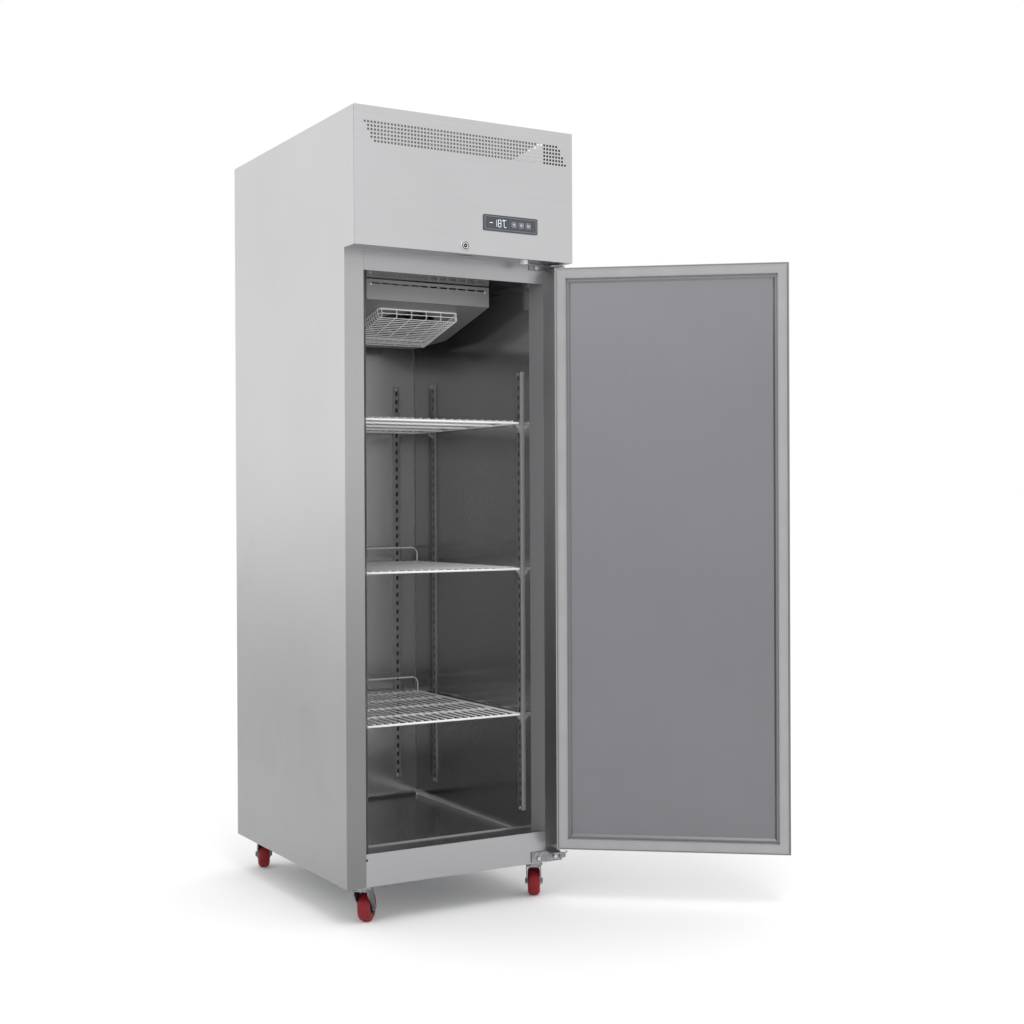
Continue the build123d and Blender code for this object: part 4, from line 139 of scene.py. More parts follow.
class Shader:
    """A material's node tree with one Principled BSDF, and short ways to wire nodes into it."""

    FACING = (0.5, 0.9)

    def __init__(self, name: str) -> None:
        """Make an empty material with a surface shader.

        Args:
            name: Name of the material.
        """
        self.material = bpy.data.materials.new(name)
        self.material.use_nodes = True
        self.tree = self.material.node_tree
        self.tree.nodes.clear()
        self.surface = self.node("BsdfPrincipled")
        self.node("OutputMaterial", Surface=self.surface.outputs[0])

    def node(self, kind: str, settings: dict[str, str | Tree] | None = None,
             **values: float | Point | Socket) -> Node:
        """Add a node to this material, as add_node does."""
        return add_node(self.tree, kind, settings, **values)

    def feed(self, **values: float | Socket) -> None:
        """Fill inputs of the surface shader, each by its name with underscores."""
        for key, value in values.items():
            fill(self.tree, self.surface.inputs[key.replace("_", " ")], value)

    def coordinates(self) -> Socket:
        """Object coordinates, which every pattern here reads."""
        return self.node("TexCoord").outputs["Object"]

    def group(self, effect: Tree, **values: float | Point) -> Node:
        """Place a shared effect in this material, with values for its named inputs."""
        return self.node("Group", {"node_tree": effect}, Vector=self.coordinates(), **values)

    def ramp(self, value: Socket, low: Colour, high: Colour) -> Socket:
        """Colour that runs from low to high with a value."""
        settings = {"data_type": "RGBA"}
        return self.node("Mix", settings, Factor=value, A=(*low, 1.0), B=(*high, 1.0)).outputs["Result"]

    def dimmed(self, colour: Socket, amount: Socket) -> Socket:
        """A colour times a number."""
        settings = {"data_type": "RGBA", "blend_type": "MULTIPLY"}
        return self.node("Mix", settings, Factor=1.0, A=colour, B=amount).outputs["Result"]

    def spread(self, value: Socket, low: float, high: float) -> Socket:
        """Number that runs from low to high with a value from 0 to 1."""
        return self.node("MapRange", Value=value, To_Min=low, To_Max=high).outputs["Result"]

    def eased(self, value: Socket, span: Pair, low: float, high: float) -> Socket:
        """Number that runs smoothly from low to high while a value crosses a span.

        Args:
            value: The value.
            span: Where the change starts and ends.
            low: The number below the span.
            high: The number above it.

        Returns:
            The number's socket.
        """
        node = self.node("MapRange", {"interpolation_type": "SMOOTHSTEP"}, Value=value,
                         From_Min=span[0], From_Max=span[1], To_Min=low, To_Max=high)
        return node.outputs["Result"]

    def part(self, vector: Socket, axis: str) -> Socket:
        """X, Y or Z of a vector."""
        return self.node("SeparateXYZ", Vector=vector).outputs[axis]

    def facing(self, axis: str, sign: float, there: float, elsewhere: float = 1.0) -> Socket:
        """Number that differs where the surface faces one way, as a mask for light and shade painted by
        direction.

        Args:
            axis: X, Y or Z.
            sign: 1 or -1, the way along the axis.
            there: The number on the faces that look that way.
            elsewhere: The number on all the others.

        Returns:
            The number's socket.
        """
        along = self.part(self.node("TexCoord").outputs["Normal"], axis)
        near, far = self.FACING
        if sign > 0:
            return self.eased(along, (near, far), elsewhere, there)
        return self.eased(along, (-far, -near), there, elsewhere)

    def roughness(self, grain: Socket, span: Pair, marks: Socket, smudge: float) -> Socket:
        """Roughness that runs over a span with the grain and rises on handling marks.

        Args:
            grain: The surface's grain.
            span: Roughness at the lowest and the highest grain.
            marks: Where the surface was handled.
            smudge: What a mark adds.

        Returns:
            The roughness's socket.
        """
        return calculate(self.tree, "Math", "ADD", self.spread(grain, *span),
                         self.spread(marks, 0.0, smudge))

    def bump(self, height: Socket, distance: float) -> None:
        """Feed the surface's normal from a height."""
        self.feed(Normal=self.node("Bump", Distance=distance, Height=height).outputs["Normal"])


class Effects:
    """Shared node groups: each is built once and placed in several materials."""

    def __init__(self) -> None:
        """Build every shared effect."""
        self.brushing = self._brushing()
        self.handling = self._handling()
        self.moulding = self._moulding()

    def _start(self, name: str, control: str, default: float | Point, outputs: Sequence[str]
               ) -> tuple[Tree, Socket, Socket, Node]:
        """Start a node group that takes a vector and one control.

        Args:
            name: Name of the group.
            control: Name of the control.
            default: Its value where none is given.
            outputs: Names of the group's value outputs.

        Returns:
            The tree, the vector, the control and the output node.
        """
        tree = bpy.data.node_groups.new(name, "ShaderNodeTree")
        tree.interface.new_socket("Vector", in_out="INPUT", socket_type="NodeSocketVector")
        kind = "NodeSocketVector" if isinstance(default, tuple) else "NodeSocketFloat"
        tree.interface.new_socket(control, in_out="INPUT", socket_type=kind).default_value = default
        for label in outputs:
            tree.interface.new_socket(label, in_out="OUTPUT", socket_type="NodeSocketFloat")
        enter = tree.nodes.new("NodeGroupInput").outputs
        return tree, enter["Vector"], enter[control], tree.nodes.new("NodeGroupOutput")

    def _noise(self, tree: Tree, **values: float | Socket) -> Socket:
        """Noise value, with the inputs of its node given by name."""
        return add_node(tree, "TexNoise", **values).outputs["Fac"]

    def _brushing(self) -> Tree:
        """Fine parallel brush lines and broad, faint patches of tone along them.

        Returns:
            The node group.
        """
        tree, vector, stretch, leave = self._start("brushed grain", "Stretch", (3.0, 900.0, 900.0),
                                                   ("Grain", "Tone"))
        drawn_out = calculate(tree, "VectorMath", "MULTIPLY", vector, stretch)
        fill(tree, leave.inputs["Grain"], self._noise(tree, Vector=drawn_out, Scale=1.0, Detail=3.0))
        fill(tree, leave.inputs["Tone"], self._noise(tree, Vector=vector, Scale=2.2, Detail=2.0))
        return tree

    def _handling(self) -> Tree:
        """Faint wipe marks and finger smudges that change how rough a surface looks.

        Returns:
            The node group.
        """
        tree, vector, size, leave = self._start("handling marks", "Size", 9.0, ("Marks",))
        broad = self._noise(tree, Vector=vector, Scale=size, Detail=4.0, Distortion=1.2)
        cut = add_node(tree, "MapRange", Value=broad, From_Min=0.48, From_Max=0.72)
        fill(tree, leave.inputs["Marks"], cut.outputs["Result"])
        return tree

    def _moulding(self) -> Tree:
        """Fine, even grain of a moulded or cast surface, with a slow change of tone.

        Returns:
            The node group.
        """
        tree, vector, size, leave = self._start("moulded grain", "Size", 900.0, ("Grain", "Tone"))
        fill(tree, leave.inputs["Grain"], self._noise(tree, Vector=vector, Scale=size, Detail=2.0))
        fill(tree, leave.inputs["Tone"], self._noise(tree, Vector=vector, Scale=14.0, Detail=2.0))
        return tree


# Finishes


class Grain(Enum):
    """Direction of the brush lines on a sheet, as the stretch of its noise along X, Y and Z."""

    ACROSS = (4.0, 700.0, 700.0)
    UPRIGHT = (700.0, 700.0, 4.0)
    DEEP = (700.0, 4.0, 700.0)


@dataclass(frozen=True)
class Coating:
    """What every finish has: a name, and a way to wire its own look."""

    name: str

    def build(self, effects: Effects) -> Material:
        """Make the material.

        Args:
            effects: The shared node groups.

        Returns:
            The finished material.
        """
        shader = Shader(self.name)
        self.wire(shader, effects)
        return shader.material

    def wire(self, shader: Shader, effects: Effects) -> None:
        """Wire the look into the material; each kind of finish has its own."""
        raise NotImplementedError


@dataclass(frozen=True)
class SheetMetal(Coating):
    """Brushed or rolled sheet metal.

    Light and shade may be painted into its tone: faces that look along one axis are made lighter or
    darker, and the tone is darkened towards the floor, and on side walls towards the back, where least
    light falls.
    """

    dark: Colour
    light: Colour
    grain: Grain
    roughness: Pair = (0.28, 0.40)
    depth: float = 0.00004
    metallic: float = 1.0
    anisotropic: float = 0.35
    cloud: float = 0.5
    middle: float = 0.2
    line_share: float = 0.6
    smudge: float = 0.04
    smudge_size: float = 7.0
    # Painted light and shade: each entry makes faces that look one way along an axis lighter or darker.
    facing: tuple[tuple[str, float, float], ...] = ()
    # Painted shade: the tone darkens towards the floor.
    painted_low_shade: float = 1.0
    painted_low_span: Pair = (0.45, 1.25)
    # Painted shade: walls whose faces look towards -X darken towards the back.
    painted_deep_shade: float = 1.0
    painted_deep_span: Pair = (0.05, 0.48)

    def shaded(self, shader: Shader, colour: Socket) -> Socket:
        """Paint light and shade into the tone: darker by height, lighter or darker by the way a face looks,
        and darker by depth.

        Args:
            shader: The material's shader.
            colour: The colour before.

        Returns:
            The colour after.
        """
        # Painted shade towards the floor.
        if self.painted_low_shade != 1.0:
            height = shader.part(shader.coordinates(), "Z")
            colour = shader.dimmed(colour, shader.eased(height, self.painted_low_span, self.painted_low_shade, 1.0))
        # Painted light and shade by the way each face looks.
        for axis, sign, tone in self.facing:
            colour = shader.dimmed(colour, shader.facing(axis, sign, tone))
        # Painted shade on the side walls towards the back.
        if self.painted_deep_shade != 1.0:
            wall = shader.facing("X", -1.0, 1.0, elsewhere=0.0)
            depth = shader.eased(shader.part(shader.coordinates(), "Y"), self.painted_deep_span, 0.0, 1.0)
            both = calculate(shader.tree, "Math", "MULTIPLY", wall, depth)
            colour = shader.dimmed(colour, shader.eased(both, (0.0, 1.0), 1.0, self.painted_deep_shade))
        return colour

    def wire(self, shader: Shader, effects: Effects) -> None:
        """Wire brush lines, patches of tone and handling marks.

        Args:
            shader: The material's shader.
            effects: The shared node groups.
        """
        brush = shader.group(effects.brushing, Stretch=self.grain.value).outputs
        marks = shader.group(effects.handling, Size=self.smudge_size).outputs["Marks"]
        patches = shader.spread(brush["Tone"], self.middle - self.cloud, self.middle + self.cloud)
        tone = calculate(shader.tree, "Math", "MULTIPLY_ADD", brush["Grain"], self.line_share, patches)
        shader.feed(Metallic=self.metallic, Anisotropic=self.anisotropic,
                    Base_Color=self.shaded(shader, shader.ramp(tone, self.dark, self.light)),
                    Roughness=shader.roughness(brush["Grain"], self.roughness, marks, self.smudge))
        shader.bump(brush["Grain"], self.depth)


@dataclass(frozen=True)
class Moulded(Coating):
    """Moulded plastic, rubber or paint with a fine grain."""

    dark: Colour
    light: Colour
    roughness: Pair = (0.38, 0.5)
    grain: float = 900.0
    depth: float = 0.0001
    specular: float = 0.5
    sheen: float = 0.0
    coat: float = 0.0
    smudge: float = 0.08
    smudge_size: float = 40.0

    def wire(self, shader: Shader, effects: Effects) -> None:
        """Wire the grain, its slow change of tone and handling marks.

        Args:
            shader: The material's shader.
            effects: The shared node groups.
        """
        skin = shader.group(effects.moulding, Size=self.grain).outputs
        marks = shader.group(effects.handling, Size=self.smudge_size).outputs["Marks"]
        shader.feed(Specular_IOR_Level=self.specular, Sheen_Weight=self.sheen, Coat_Weight=self.coat,
                    Base_Color=shader.ramp(skin["Tone"], self.dark, self.light),
                    Roughness=shader.roughness(skin["Grain"], self.roughness, marks, self.smudge))
        shader.bump(skin["Grain"], self.depth)


@dataclass(frozen=True)
class Plated(Coating):
    """Zinc or chrome plated metal, with a faint spangle and dulled patches."""

    dark: Colour
    light: Colour
    roughness: Pair = (0.18, 0.35)
    spangle: float = 160.0
    grain: float = 700.0
    depth: float = 0.00006

    def wire(self, shader: Shader, effects: Effects) -> None:
        """Wire the spangle, the dulled patches and the fine grain.

        Args:
            shader: The material's shader.
            effects: The shared node groups.
        """
        cells = shader.node("TexVoronoi", Vector=shader.coordinates(), Scale=self.spangle)
        tint = shader.node("SeparateColor", Color=cells.outputs["Color"]).outputs["Red"]
        skin = shader.group(effects.moulding, Size=self.grain).outputs
        shader.feed(Metallic=1.0, Base_Color=shader.ramp(tint, self.dark, self.light),
                    Roughness=shader.spread(skin["Tone"], *self.roughness))
        shader.bump(skin["Grain"], self.depth)


@dataclass(frozen=True)
class Glow(Coating):
    """Lit segments of the display."""

    colour: Colour
    strength: float
    roughness: float = 0.4
    grain: float = 600.0
    dimmest: float = 0.85

    def wire(self, shader: Shader, effects: Effects) -> None:
        """Wire the light and its slow change of tone.

        Args:
            shader: The material's shader.
            effects: The shared node groups.
        """
        skin = shader.group(effects.moulding, Size=self.grain).outputs
        dim = tuple(channel * self.dimmest for channel in self.colour)
        tint = shader.ramp(skin["Tone"], dim, self.colour)
        shader.feed(Roughness=self.roughness, Emission_Strength=self.strength, Base_Color=tint,
                    Emission_Color=tint)


class Finish(Enum):
    """Every finish on the freezer."""

    # Painted shade: faces looking to the front are darker, and the panels darken towards the floor.
    SIDE_STEEL = SheetMetal("brushed steel, upright grain", (0.58, 0.58, 0.59), (0.66, 0.66, 0.67),
                            Grain.UPRIGHT, roughness=(0.30, 0.40), facing=(("Y", -1.0, 0.68),),
                            painted_low_shade=0.54)
    # Painted shade: faces looking down are darker.
    CANOPY_STEEL = SheetMetal("brushed steel, hood", (0.58, 0.58, 0.59), (0.66, 0.66, 0.67),
                              Grain.UPRIGHT, roughness=(0.30, 0.40), facing=(("Z", -1.0, 0.68),))
    FASCIA_STEEL = SheetMetal("brushed steel, fascia", (0.51, 0.51, 0.52), (0.60, 0.60, 0.61),
                              Grain.ACROSS, roughness=(0.28, 0.38))
    # Painted shade: a darker copy of the cabinet steel, for the kick panel, the header and the parts in
    # cabinet steel; its level grain is real.
    FRONT_STEEL = SheetMetal("brushed steel, level grain", (0.37, 0.37, 0.38), (0.44, 0.44, 0.452),
                             Grain.ACROSS, roughness=(0.28, 0.38))
    DOOR_STEEL = SheetMetal("brushed steel, door", (0.54, 0.54, 0.548), (0.62, 0.62, 0.628),
                            Grain.UPRIGHT, roughness=(0.28, 0.38))
    # Painted shade: darker towards the floor.
    LINER_STEEL = SheetMetal("pressed steel, door lining", (0.235, 0.235, 0.251), (0.285, 0.285, 0.303),
                             Grain.UPRIGHT, roughness=(0.32, 0.42), cloud=0.3, painted_low_shade=0.78,
                             painted_low_span=(0.1, 1.75))
    # Painted light and shade: faces looking to the front lighter, faces looking down darker, darker towards
    # the floor, and walls facing -X darker towards the back.
    INSIDE_STEEL = SheetMetal("rolled steel, cabinet lining", (0.37, 0.37, 0.373), (0.40, 0.40, 0.403),
                              Grain.UPRIGHT, roughness=(0.15, 0.18), depth=0.000003, metallic=0.85,
                              anisotropic=0.0, cloud=0.2, smudge=0.01,
                              facing=(("Y", -1.0, 1.42), ("Z", -1.0, 0.35)), painted_low_shade=0.8, painted_deep_shade=0.45)
    # Painted light: faces looking to the front are lighter.
    STRIP_STEEL = SheetMetal("rolled steel, side shelf strips", (0.26, 0.26, 0.265), (0.31, 0.31, 0.315),
                             Grain.UPRIGHT, roughness=(0.24, 0.32), metallic=0.7,
                             facing=(("Y", -1.0, 1.35),))
    # Painted light: faces looking up are lighter.
    TRIM = SheetMetal("grey trim round the opening", (0.115, 0.115, 0.119), (0.14, 0.14, 0.145),
                      Grain.UPRIGHT, roughness=(0.30, 0.40), metallic=0.2, anisotropic=0.0,
                      facing=(("Z", 1.0, 2.2),))
    FLOOR_STEEL = SheetMetal("rolled steel, floor pan", (0.36, 0.36, 0.365), (0.42, 0.42, 0.426),
                             Grain.DEEP, roughness=(0.16, 0.26), metallic=0.9, cloud=0.2)
    HOUSING = SheetMetal("dull aluminium housing", (0.29, 0.29, 0.295), (0.34, 0.34, 0.345),
                         Grain.ACROSS, roughness=(0.34, 0.46), metallic=0.6, cloud=0.2)
    FINS = SheetMetal("aluminium fins", (0.45, 0.45, 0.45), (0.62, 0.62, 0.62), Grain.UPRIGHT,
                      roughness=(0.4, 0.5), depth=0.0004)
    ZINC = Plated("zinc plate", (0.46, 0.47, 0.48), (0.60, 0.61, 0.62), roughness=(0.28, 0.42))
    # Painted shade: a darker copy of the zinc plate, for the hinge brackets, the caster plates and the
    # forks.
    FORK_ZINC = Plated("dulled zinc plate", (0.22, 0.22, 0.23), (0.36, 0.36, 0.37), roughness=(0.3, 0.45))
    CHROME = Plated("bright plate", (0.62, 0.62, 0.63), (0.74, 0.74, 0.75), roughness=(0.12, 0.24),
                    spangle=60.0)
    BEZEL_LINE = Plated("dull bright edge", (0.36, 0.38, 0.41), (0.46, 0.48, 0.52), roughness=(0.2, 0.3))
    COPPER = Plated("copper tube", (0.60, 0.28, 0.16), (0.76, 0.40, 0.24), roughness=(0.22, 0.38),
                    spangle=40.0)
    WIRE = Moulded("pale coated wire", (0.82, 0.82, 0.82), (0.88, 0.88, 0.88), roughness=(0.25, 0.35),
                   depth=0.00002, coat=0.3)
    FOAM = Moulded("insulating foam", (0.72, 0.62, 0.38), (0.84, 0.75, 0.50), roughness=(0.85, 0.95),
                   grain=420.0, depth=0.0008)
    GREY_PLASTIC = Moulded("grey moulded plastic", (0.34, 0.34, 0.35), (0.42, 0.42, 0.43))
    WHITE_PLASTIC = Moulded("white moulded plastic", (0.70, 0.70, 0.70), (0.80, 0.80, 0.80),
                            roughness=(0.25, 0.32), depth=0.00003)
    BLACK_PLASTIC = Moulded("black moulded plastic", (0.018, 0.018, 0.020), (0.030, 0.030, 0.033))
    BLACK_PAINT = Moulded("black stove paint", (0.016, 0.016, 0.016), (0.028, 0.028, 0.028),
                          roughness=(0.25, 0.38), depth=0.00008, coat=0.4)
    BLACK_RUBBER = Moulded("black rubber", (0.018, 0.018, 0.018), (0.032, 0.032, 0.032),
                           roughness=(0.6, 0.75), sheen=0.1)
    FILTER_CLOTH = Moulded("dark filter cloth", (0.17, 0.17, 0.173), (0.27, 0.27, 0.275),
                           roughness=(0.85, 0.95), grain=1400.0, depth=0.0004)
    # Painted shadow: dark beads for the shadow line of the seams round the stiles.
    SEALANT = Moulded("dark seam sealant", (0.055, 0.055, 0.058), (0.085, 0.085, 0.09),
                      roughness=(0.5, 0.6), depth=0.00002)
    GASKET = Moulded("grey seal rubber", (0.29, 0.29, 0.297), (0.35, 0.35, 0.357), roughness=(0.42, 0.55),
                     sheen=0.1)
    TYRE = Moulded("red caster tyre", (0.17, 0.005, 0.010), (0.25, 0.010, 0.016), roughness=(0.42, 0.55),
                   grain=300.0, specular=0.3)
    DISPLAY = Moulded("dark display window", (0.022, 0.028, 0.040), (0.034, 0.042, 0.058),
                      roughness=(0.12, 0.18), depth=0.00001, coat=0.6)
    DISPLAY_FRAME = Moulded("slate controller face", (0.045, 0.050, 0.060), (0.060, 0.066, 0.078),
                            roughness=(0.32, 0.42))
    KEY_FACE = Moulded("slate key cap", (0.20, 0.215, 0.24), (0.26, 0.275, 0.30), roughness=(0.35, 0.45))
    PRINT = Moulded("pale print", (0.50, 0.52, 0.55), (0.60, 0.62, 0.66), roughness=(0.4, 0.5))
    # Painted shadow: black that stands for the dark behind slots, beside the vent and round and in the
    # lock.
    SHADOW = Moulded("blackened recess", (0.006, 0.006, 0.006), (0.012, 0.012, 0.012),
                     roughness=(0.7, 0.8))
    DIGITS = Glow("white lit digits", (0.90, 0.93, 1.0), strength=0.55)


NODE_FINISH: dict[str, Finish] = {
    **dict.fromkeys(("side_panel_left", "side_panel_right"), Finish.SIDE_STEEL),
    **dict.fromkeys(("kick_panel", "header_panel"), Finish.FRONT_STEEL),
    **dict.fromkeys(("fascia_panel", "lock_body"), Finish.FASCIA_STEEL),
    **dict.fromkeys(("back_panel", "base_panel", "machine_tray", "hinge_bolts"), Finish.ZINC),
    **dict.fromkeys(("hinge_brackets", "caster_plates"), Finish.FORK_ZINC),
    **{f"fork_{corner}": Finish.FORK_ZINC for corner in CORNERS},
    **{f"key_{number}": Finish.KEY_FACE for number in (1, 2, 3)},
    "canopy": Finish.CANOPY_STEEL,
    "door_skin": Finish.DOOR_STEEL,
    "door_liner": Finish.LINER_STEEL,
    "breaker_strips": Finish.TRIM,
    "floor_pan": Finish.FLOOR_STEEL,
    "controller": Finish.DISPLAY_FRAME,
}
SLOT_FINISH: dict[str, Finish] = {
    "cabinet_steel": Finish.FRONT_STEEL,
    "lining_steel": Finish.INSIDE_STEEL,
    "galvanised": Finish.ZINC,
    "foam": Finish.FOAM,
    "grey_plastic": Finish.GREY_PLASTIC,
    "shelf_wire": Finish.WIRE,
    "housing_aluminium": Finish.HOUSING,
    "fin_aluminium": Finish.FINS,
    "black_plastic": Finish.BLACK_PLASTIC,
    "white_plastic": Finish.WHITE_PLASTIC,
    "bright_metal": Finish.CHROME,
    "gasket_rubber": Finish.GASKET,
    "black_paint": Finish.BLACK_PAINT,
    "black_rubber": Finish.BLACK_RUBBER,
    "copper": Finish.COPPER,
    "red_tyre": Finish.TYRE,
}


class Paintshop:
    """Builds each finish once and puts it on the pieces."""

    def __init__(self) -> None:
        """Make the shared effects and an empty shelf of materials."""
        self.effects = Effects()
        self.materials: dict[Finish, Material] = {}

    def material(self, finish: Finish) -> Material:
        """Fetch the material of a finish, which is made the first time it is asked for.

        Args:
            finish: The finish.

        Returns:
            Its material.
        """
        if finish not in self.materials:
            self.materials[finish] = finish.value.build(self.effects)
        return self.materials[finish]

    def paint(self, piece: Piece, finish: Finish) -> None:
        """Give a piece one finish all over."""
        piece.data.materials.clear()
        piece.data.materials.append(self.material(finish))

    def dress_frame(self) -> None:
        """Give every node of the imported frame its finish."""
        slots = {part["node"]: part["material_slot"] for part in frame["record"]["subparts"]}
        for name, node in frame["nodes"].items():
            finish = NODE_FINISH.get(name, SLOT_FINISH[slots[name]])
            if not node.material_slots:
                node.data.materials.append(None)
            for material_slot in node.material_slots:
                material_slot.material = self.material(finish)
        log.info("dressed %d nodes of the frame", len(slots))


# Paths and places


def axes_at(place: Sequence[float], side: Vector, above: Vector, ahead: Vector) -> Matrix:
    """Transform that puts X, Y and Z along three directions at a place."""
    return Matrix.Translation(place) @ Matrix((side, above, ahead)).transposed().to_4x4()


def turned(place: Point, facing: Point, up: Point = UP) -> Matrix:
    """Place and turn of a piece modelled facing +Z at the origin.

    Args:
        place: Where its origin goes.
        facing: The direction its +Z turns to.
        up: The direction its +Y turns to, as nearly as it can.

    Returns:
        The transform.
    """
    ahead = Vector(facing).normalized()
    side = Vector(up).cross(ahead).normalized()
    return axes_at(place, side, ahead.cross(side), ahead)


def circle(centre: Point, radius: float, count: int) -> list[Point]:
    """Points of an upright circle that faces the front.

    Args:
        centre: Its middle.
        radius: Its radius.
        count: Number of points.

    Returns:
        The points.
    """
    x, y, z = centre
    turns = [index * math.tau / count for index in range(count)]
    return [(x + radius * math.cos(turn), y, z + radius * math.sin(turn)) for turn in turns]


def rounded_path(points: Sequence[Point], radius: float, steps: int, closed: bool) -> list[Point]:
    """A path of straight runs with its corners rounded.

    Args:
        points: The corners.
        radius: Radius of each bend.
        steps: Points round each bend, less one.
        closed: True where the last corner runs back to the first.

    Returns:
        The points along the path.
    """
    count = len(points)
    path: list[Point] = []
    for index, corner in enumerate(points):
        here = Vector(corner)
        if not closed and index in (0, count - 1):
            path.append(tuple(here))
            continue
        back = (Vector(points[index - 1]) - here).normalized()
        on = (Vector(points[(index + 1) % count]) - here).normalized()
        half = back.angle(on) / 2
        reach = radius / math.tan(half)
        centre = here + (back + on).normalized() * (radius / math.sin(half))
        first, last = here + back * reach - centre, here + on * reach - centre
        swing = first.rotation_difference(last)
        for step in range(steps + 1):
            part = Matrix.Identity(3).to_quaternion().slerp(swing, step / steps)
            path.append(tuple(centre + part @ first))
    return path


# Studio


@dataclass(frozen=True)
class SoftBox:
    """Square area lamp that faces the cabinet."""

    name: str
    place: Point
    size: float
    power: float
    target: Point = (0.0, 0.2, 0.9)

    def hang(self) -> None:
        """Hang the lamp and aim it."""
        bpy.ops.object.light_add(type="AREA", location=ORIGIN + Vector(self.place))
        lamp = bpy.context.object
        lamp.name = self.name
        lamp.data.size = self.size
        lamp.data.energy = self.power
        aim = Vector(self.target) - Vector(self.place)
        lamp.rotation_euler = aim.to_track_quat("-Z", "Y").to_euler()


@dataclass
class Studio:
    """Camera, lamps, world and the pale floor."""

    camera_place: Point = (-1.82520, -3.38010, 1.03192)
    camera_yaw: float = 0.53121
    camera_pitch: float = -0.00349
    camera_roll: float = -0.00447
    focal_pixels: float = 1514.56
    frame_pixels: float = 1024.0
    sensor: float = 36.0
    floor_size: float = 200.0
    floor_dark: Colour = (0.95, 0.95, 0.95)
    floor_light: Colour = (0.97, 0.97, 0.97)
    ambient: float = 0.97
    boxes: tuple[SoftBox, ...] = (SoftBox("key light", (-0.6, -3.0, 5.0), size=2.0, power=60.0),
                                  SoftBox("fill light", (-3.8, -1.8, 3.0), size=1.6, power=16.0))
    skylight: float = 0.34
    skylight_angle: float = 80.0
    skylight_height: float = 6.0

    def place_camera(self) -> None:
        """Stand the camera where the photograph was taken from."""
        bpy.ops.object.camera_add(location=self.camera_place)
        camera = bpy.context.object
        camera.name = "camera"
        camera.data.sensor_width = self.sensor
        camera.data.lens = self.focal_pixels * self.sensor / self.frame_pixels
        camera.data.clip_end = self.floor_size
        level = Vector((math.cos(self.camera_yaw), -math.sin(self.camera_yaw), 0.0))
        ahead = Vector((math.sin(self.camera_yaw) * math.cos(self.camera_pitch),
                        math.cos(self.camera_yaw) * math.cos(self.camera_pitch),
                        math.sin(self.camera_pitch)))
        roll = Matrix.Rotation(-self.camera_roll, 3, ahead)
        stand = ORIGIN + Vector(self.camera_place)
        camera.matrix_world = axes_at(stand, roll @ level, roll @ level.cross(ahead), -ahead)
        bpy.context.scene.camera = camera

    def light_world(self) -> None:
        """White surroundings for the camera and for reflections, softer for the light they give."""
        world = bpy.data.worlds.new("studio")
        bpy.context.scene.world = world
        world.use_nodes = True
        tree = world.node_tree
        tree.nodes.clear()
        path = add_node(tree, "LightPath").outputs
        seen = calculate(tree, "Math", "MAXIMUM", path["Is Camera Ray"], path["Is Glossy Ray"])
        shown = calculate(tree, "Math", "MAXIMUM", seen, path["Is Transmission Ray"])
        strength = add_node(tree, "MapRange", Value=shown, To_Min=self.ambient, To_Max=1.0)
        background = add_node(tree, "Background", Color=(1.0, 1.0, 1.0, 1.0),
                              Strength=strength.outputs["Result"])
        add_node(tree, "OutputWorld", Surface=background.outputs[0])

    def lay_floor(self) -> None:
        """Pale floor that keeps the freezer's shadow."""
        bpy.ops.object.select_all(action="DESELECT")
        bpy.ops.mesh.primitive_plane_add(size=self.floor_size)
        floor = bpy.context.object
        floor.name = "studio_floor"
        shader = Shader("pale floor")
        patches = shader.node("TexNoise", Vector=shader.coordinates(), Scale=3.0).outputs["Fac"]
        shader.feed(Roughness=0.9, Specular_IOR_Level=0.1,
                    Base_Color=shader.ramp(patches, self.floor_dark, self.floor_light))
        floor.data.materials.append(shader.material)

    def hang_lamps(self) -> None:
        """A soft box high in front, one at the left and an even skylight for the floor."""
        for box in self.boxes:
            box.hang()
        bpy.ops.object.light_add(type="SUN", location=ORIGIN + Vector((0.0, 0.0, self.skylight_height)))
        sky = bpy.context.object
        sky.name = "skylight"
        sky.data.energy = self.skylight
        sky.data.angle = math.radians(self.skylight_angle)

    def build(self) -> None:
        """Set the whole studio."""
        bpy.context.scene.view_settings.view_transform = "Standard"
        self.place_camera()
        self.light_world()
        self.lay_floor()
        self.hang_lamps()
        log.info("studio ready")


# Bench: the tools that shape new pieces


class Element(Enum):
    """What is picked in edit mode, with the name that a mesh has for it."""

    VERT = "vertices"
    EDGE = "edges"
    FACE = "polygons"


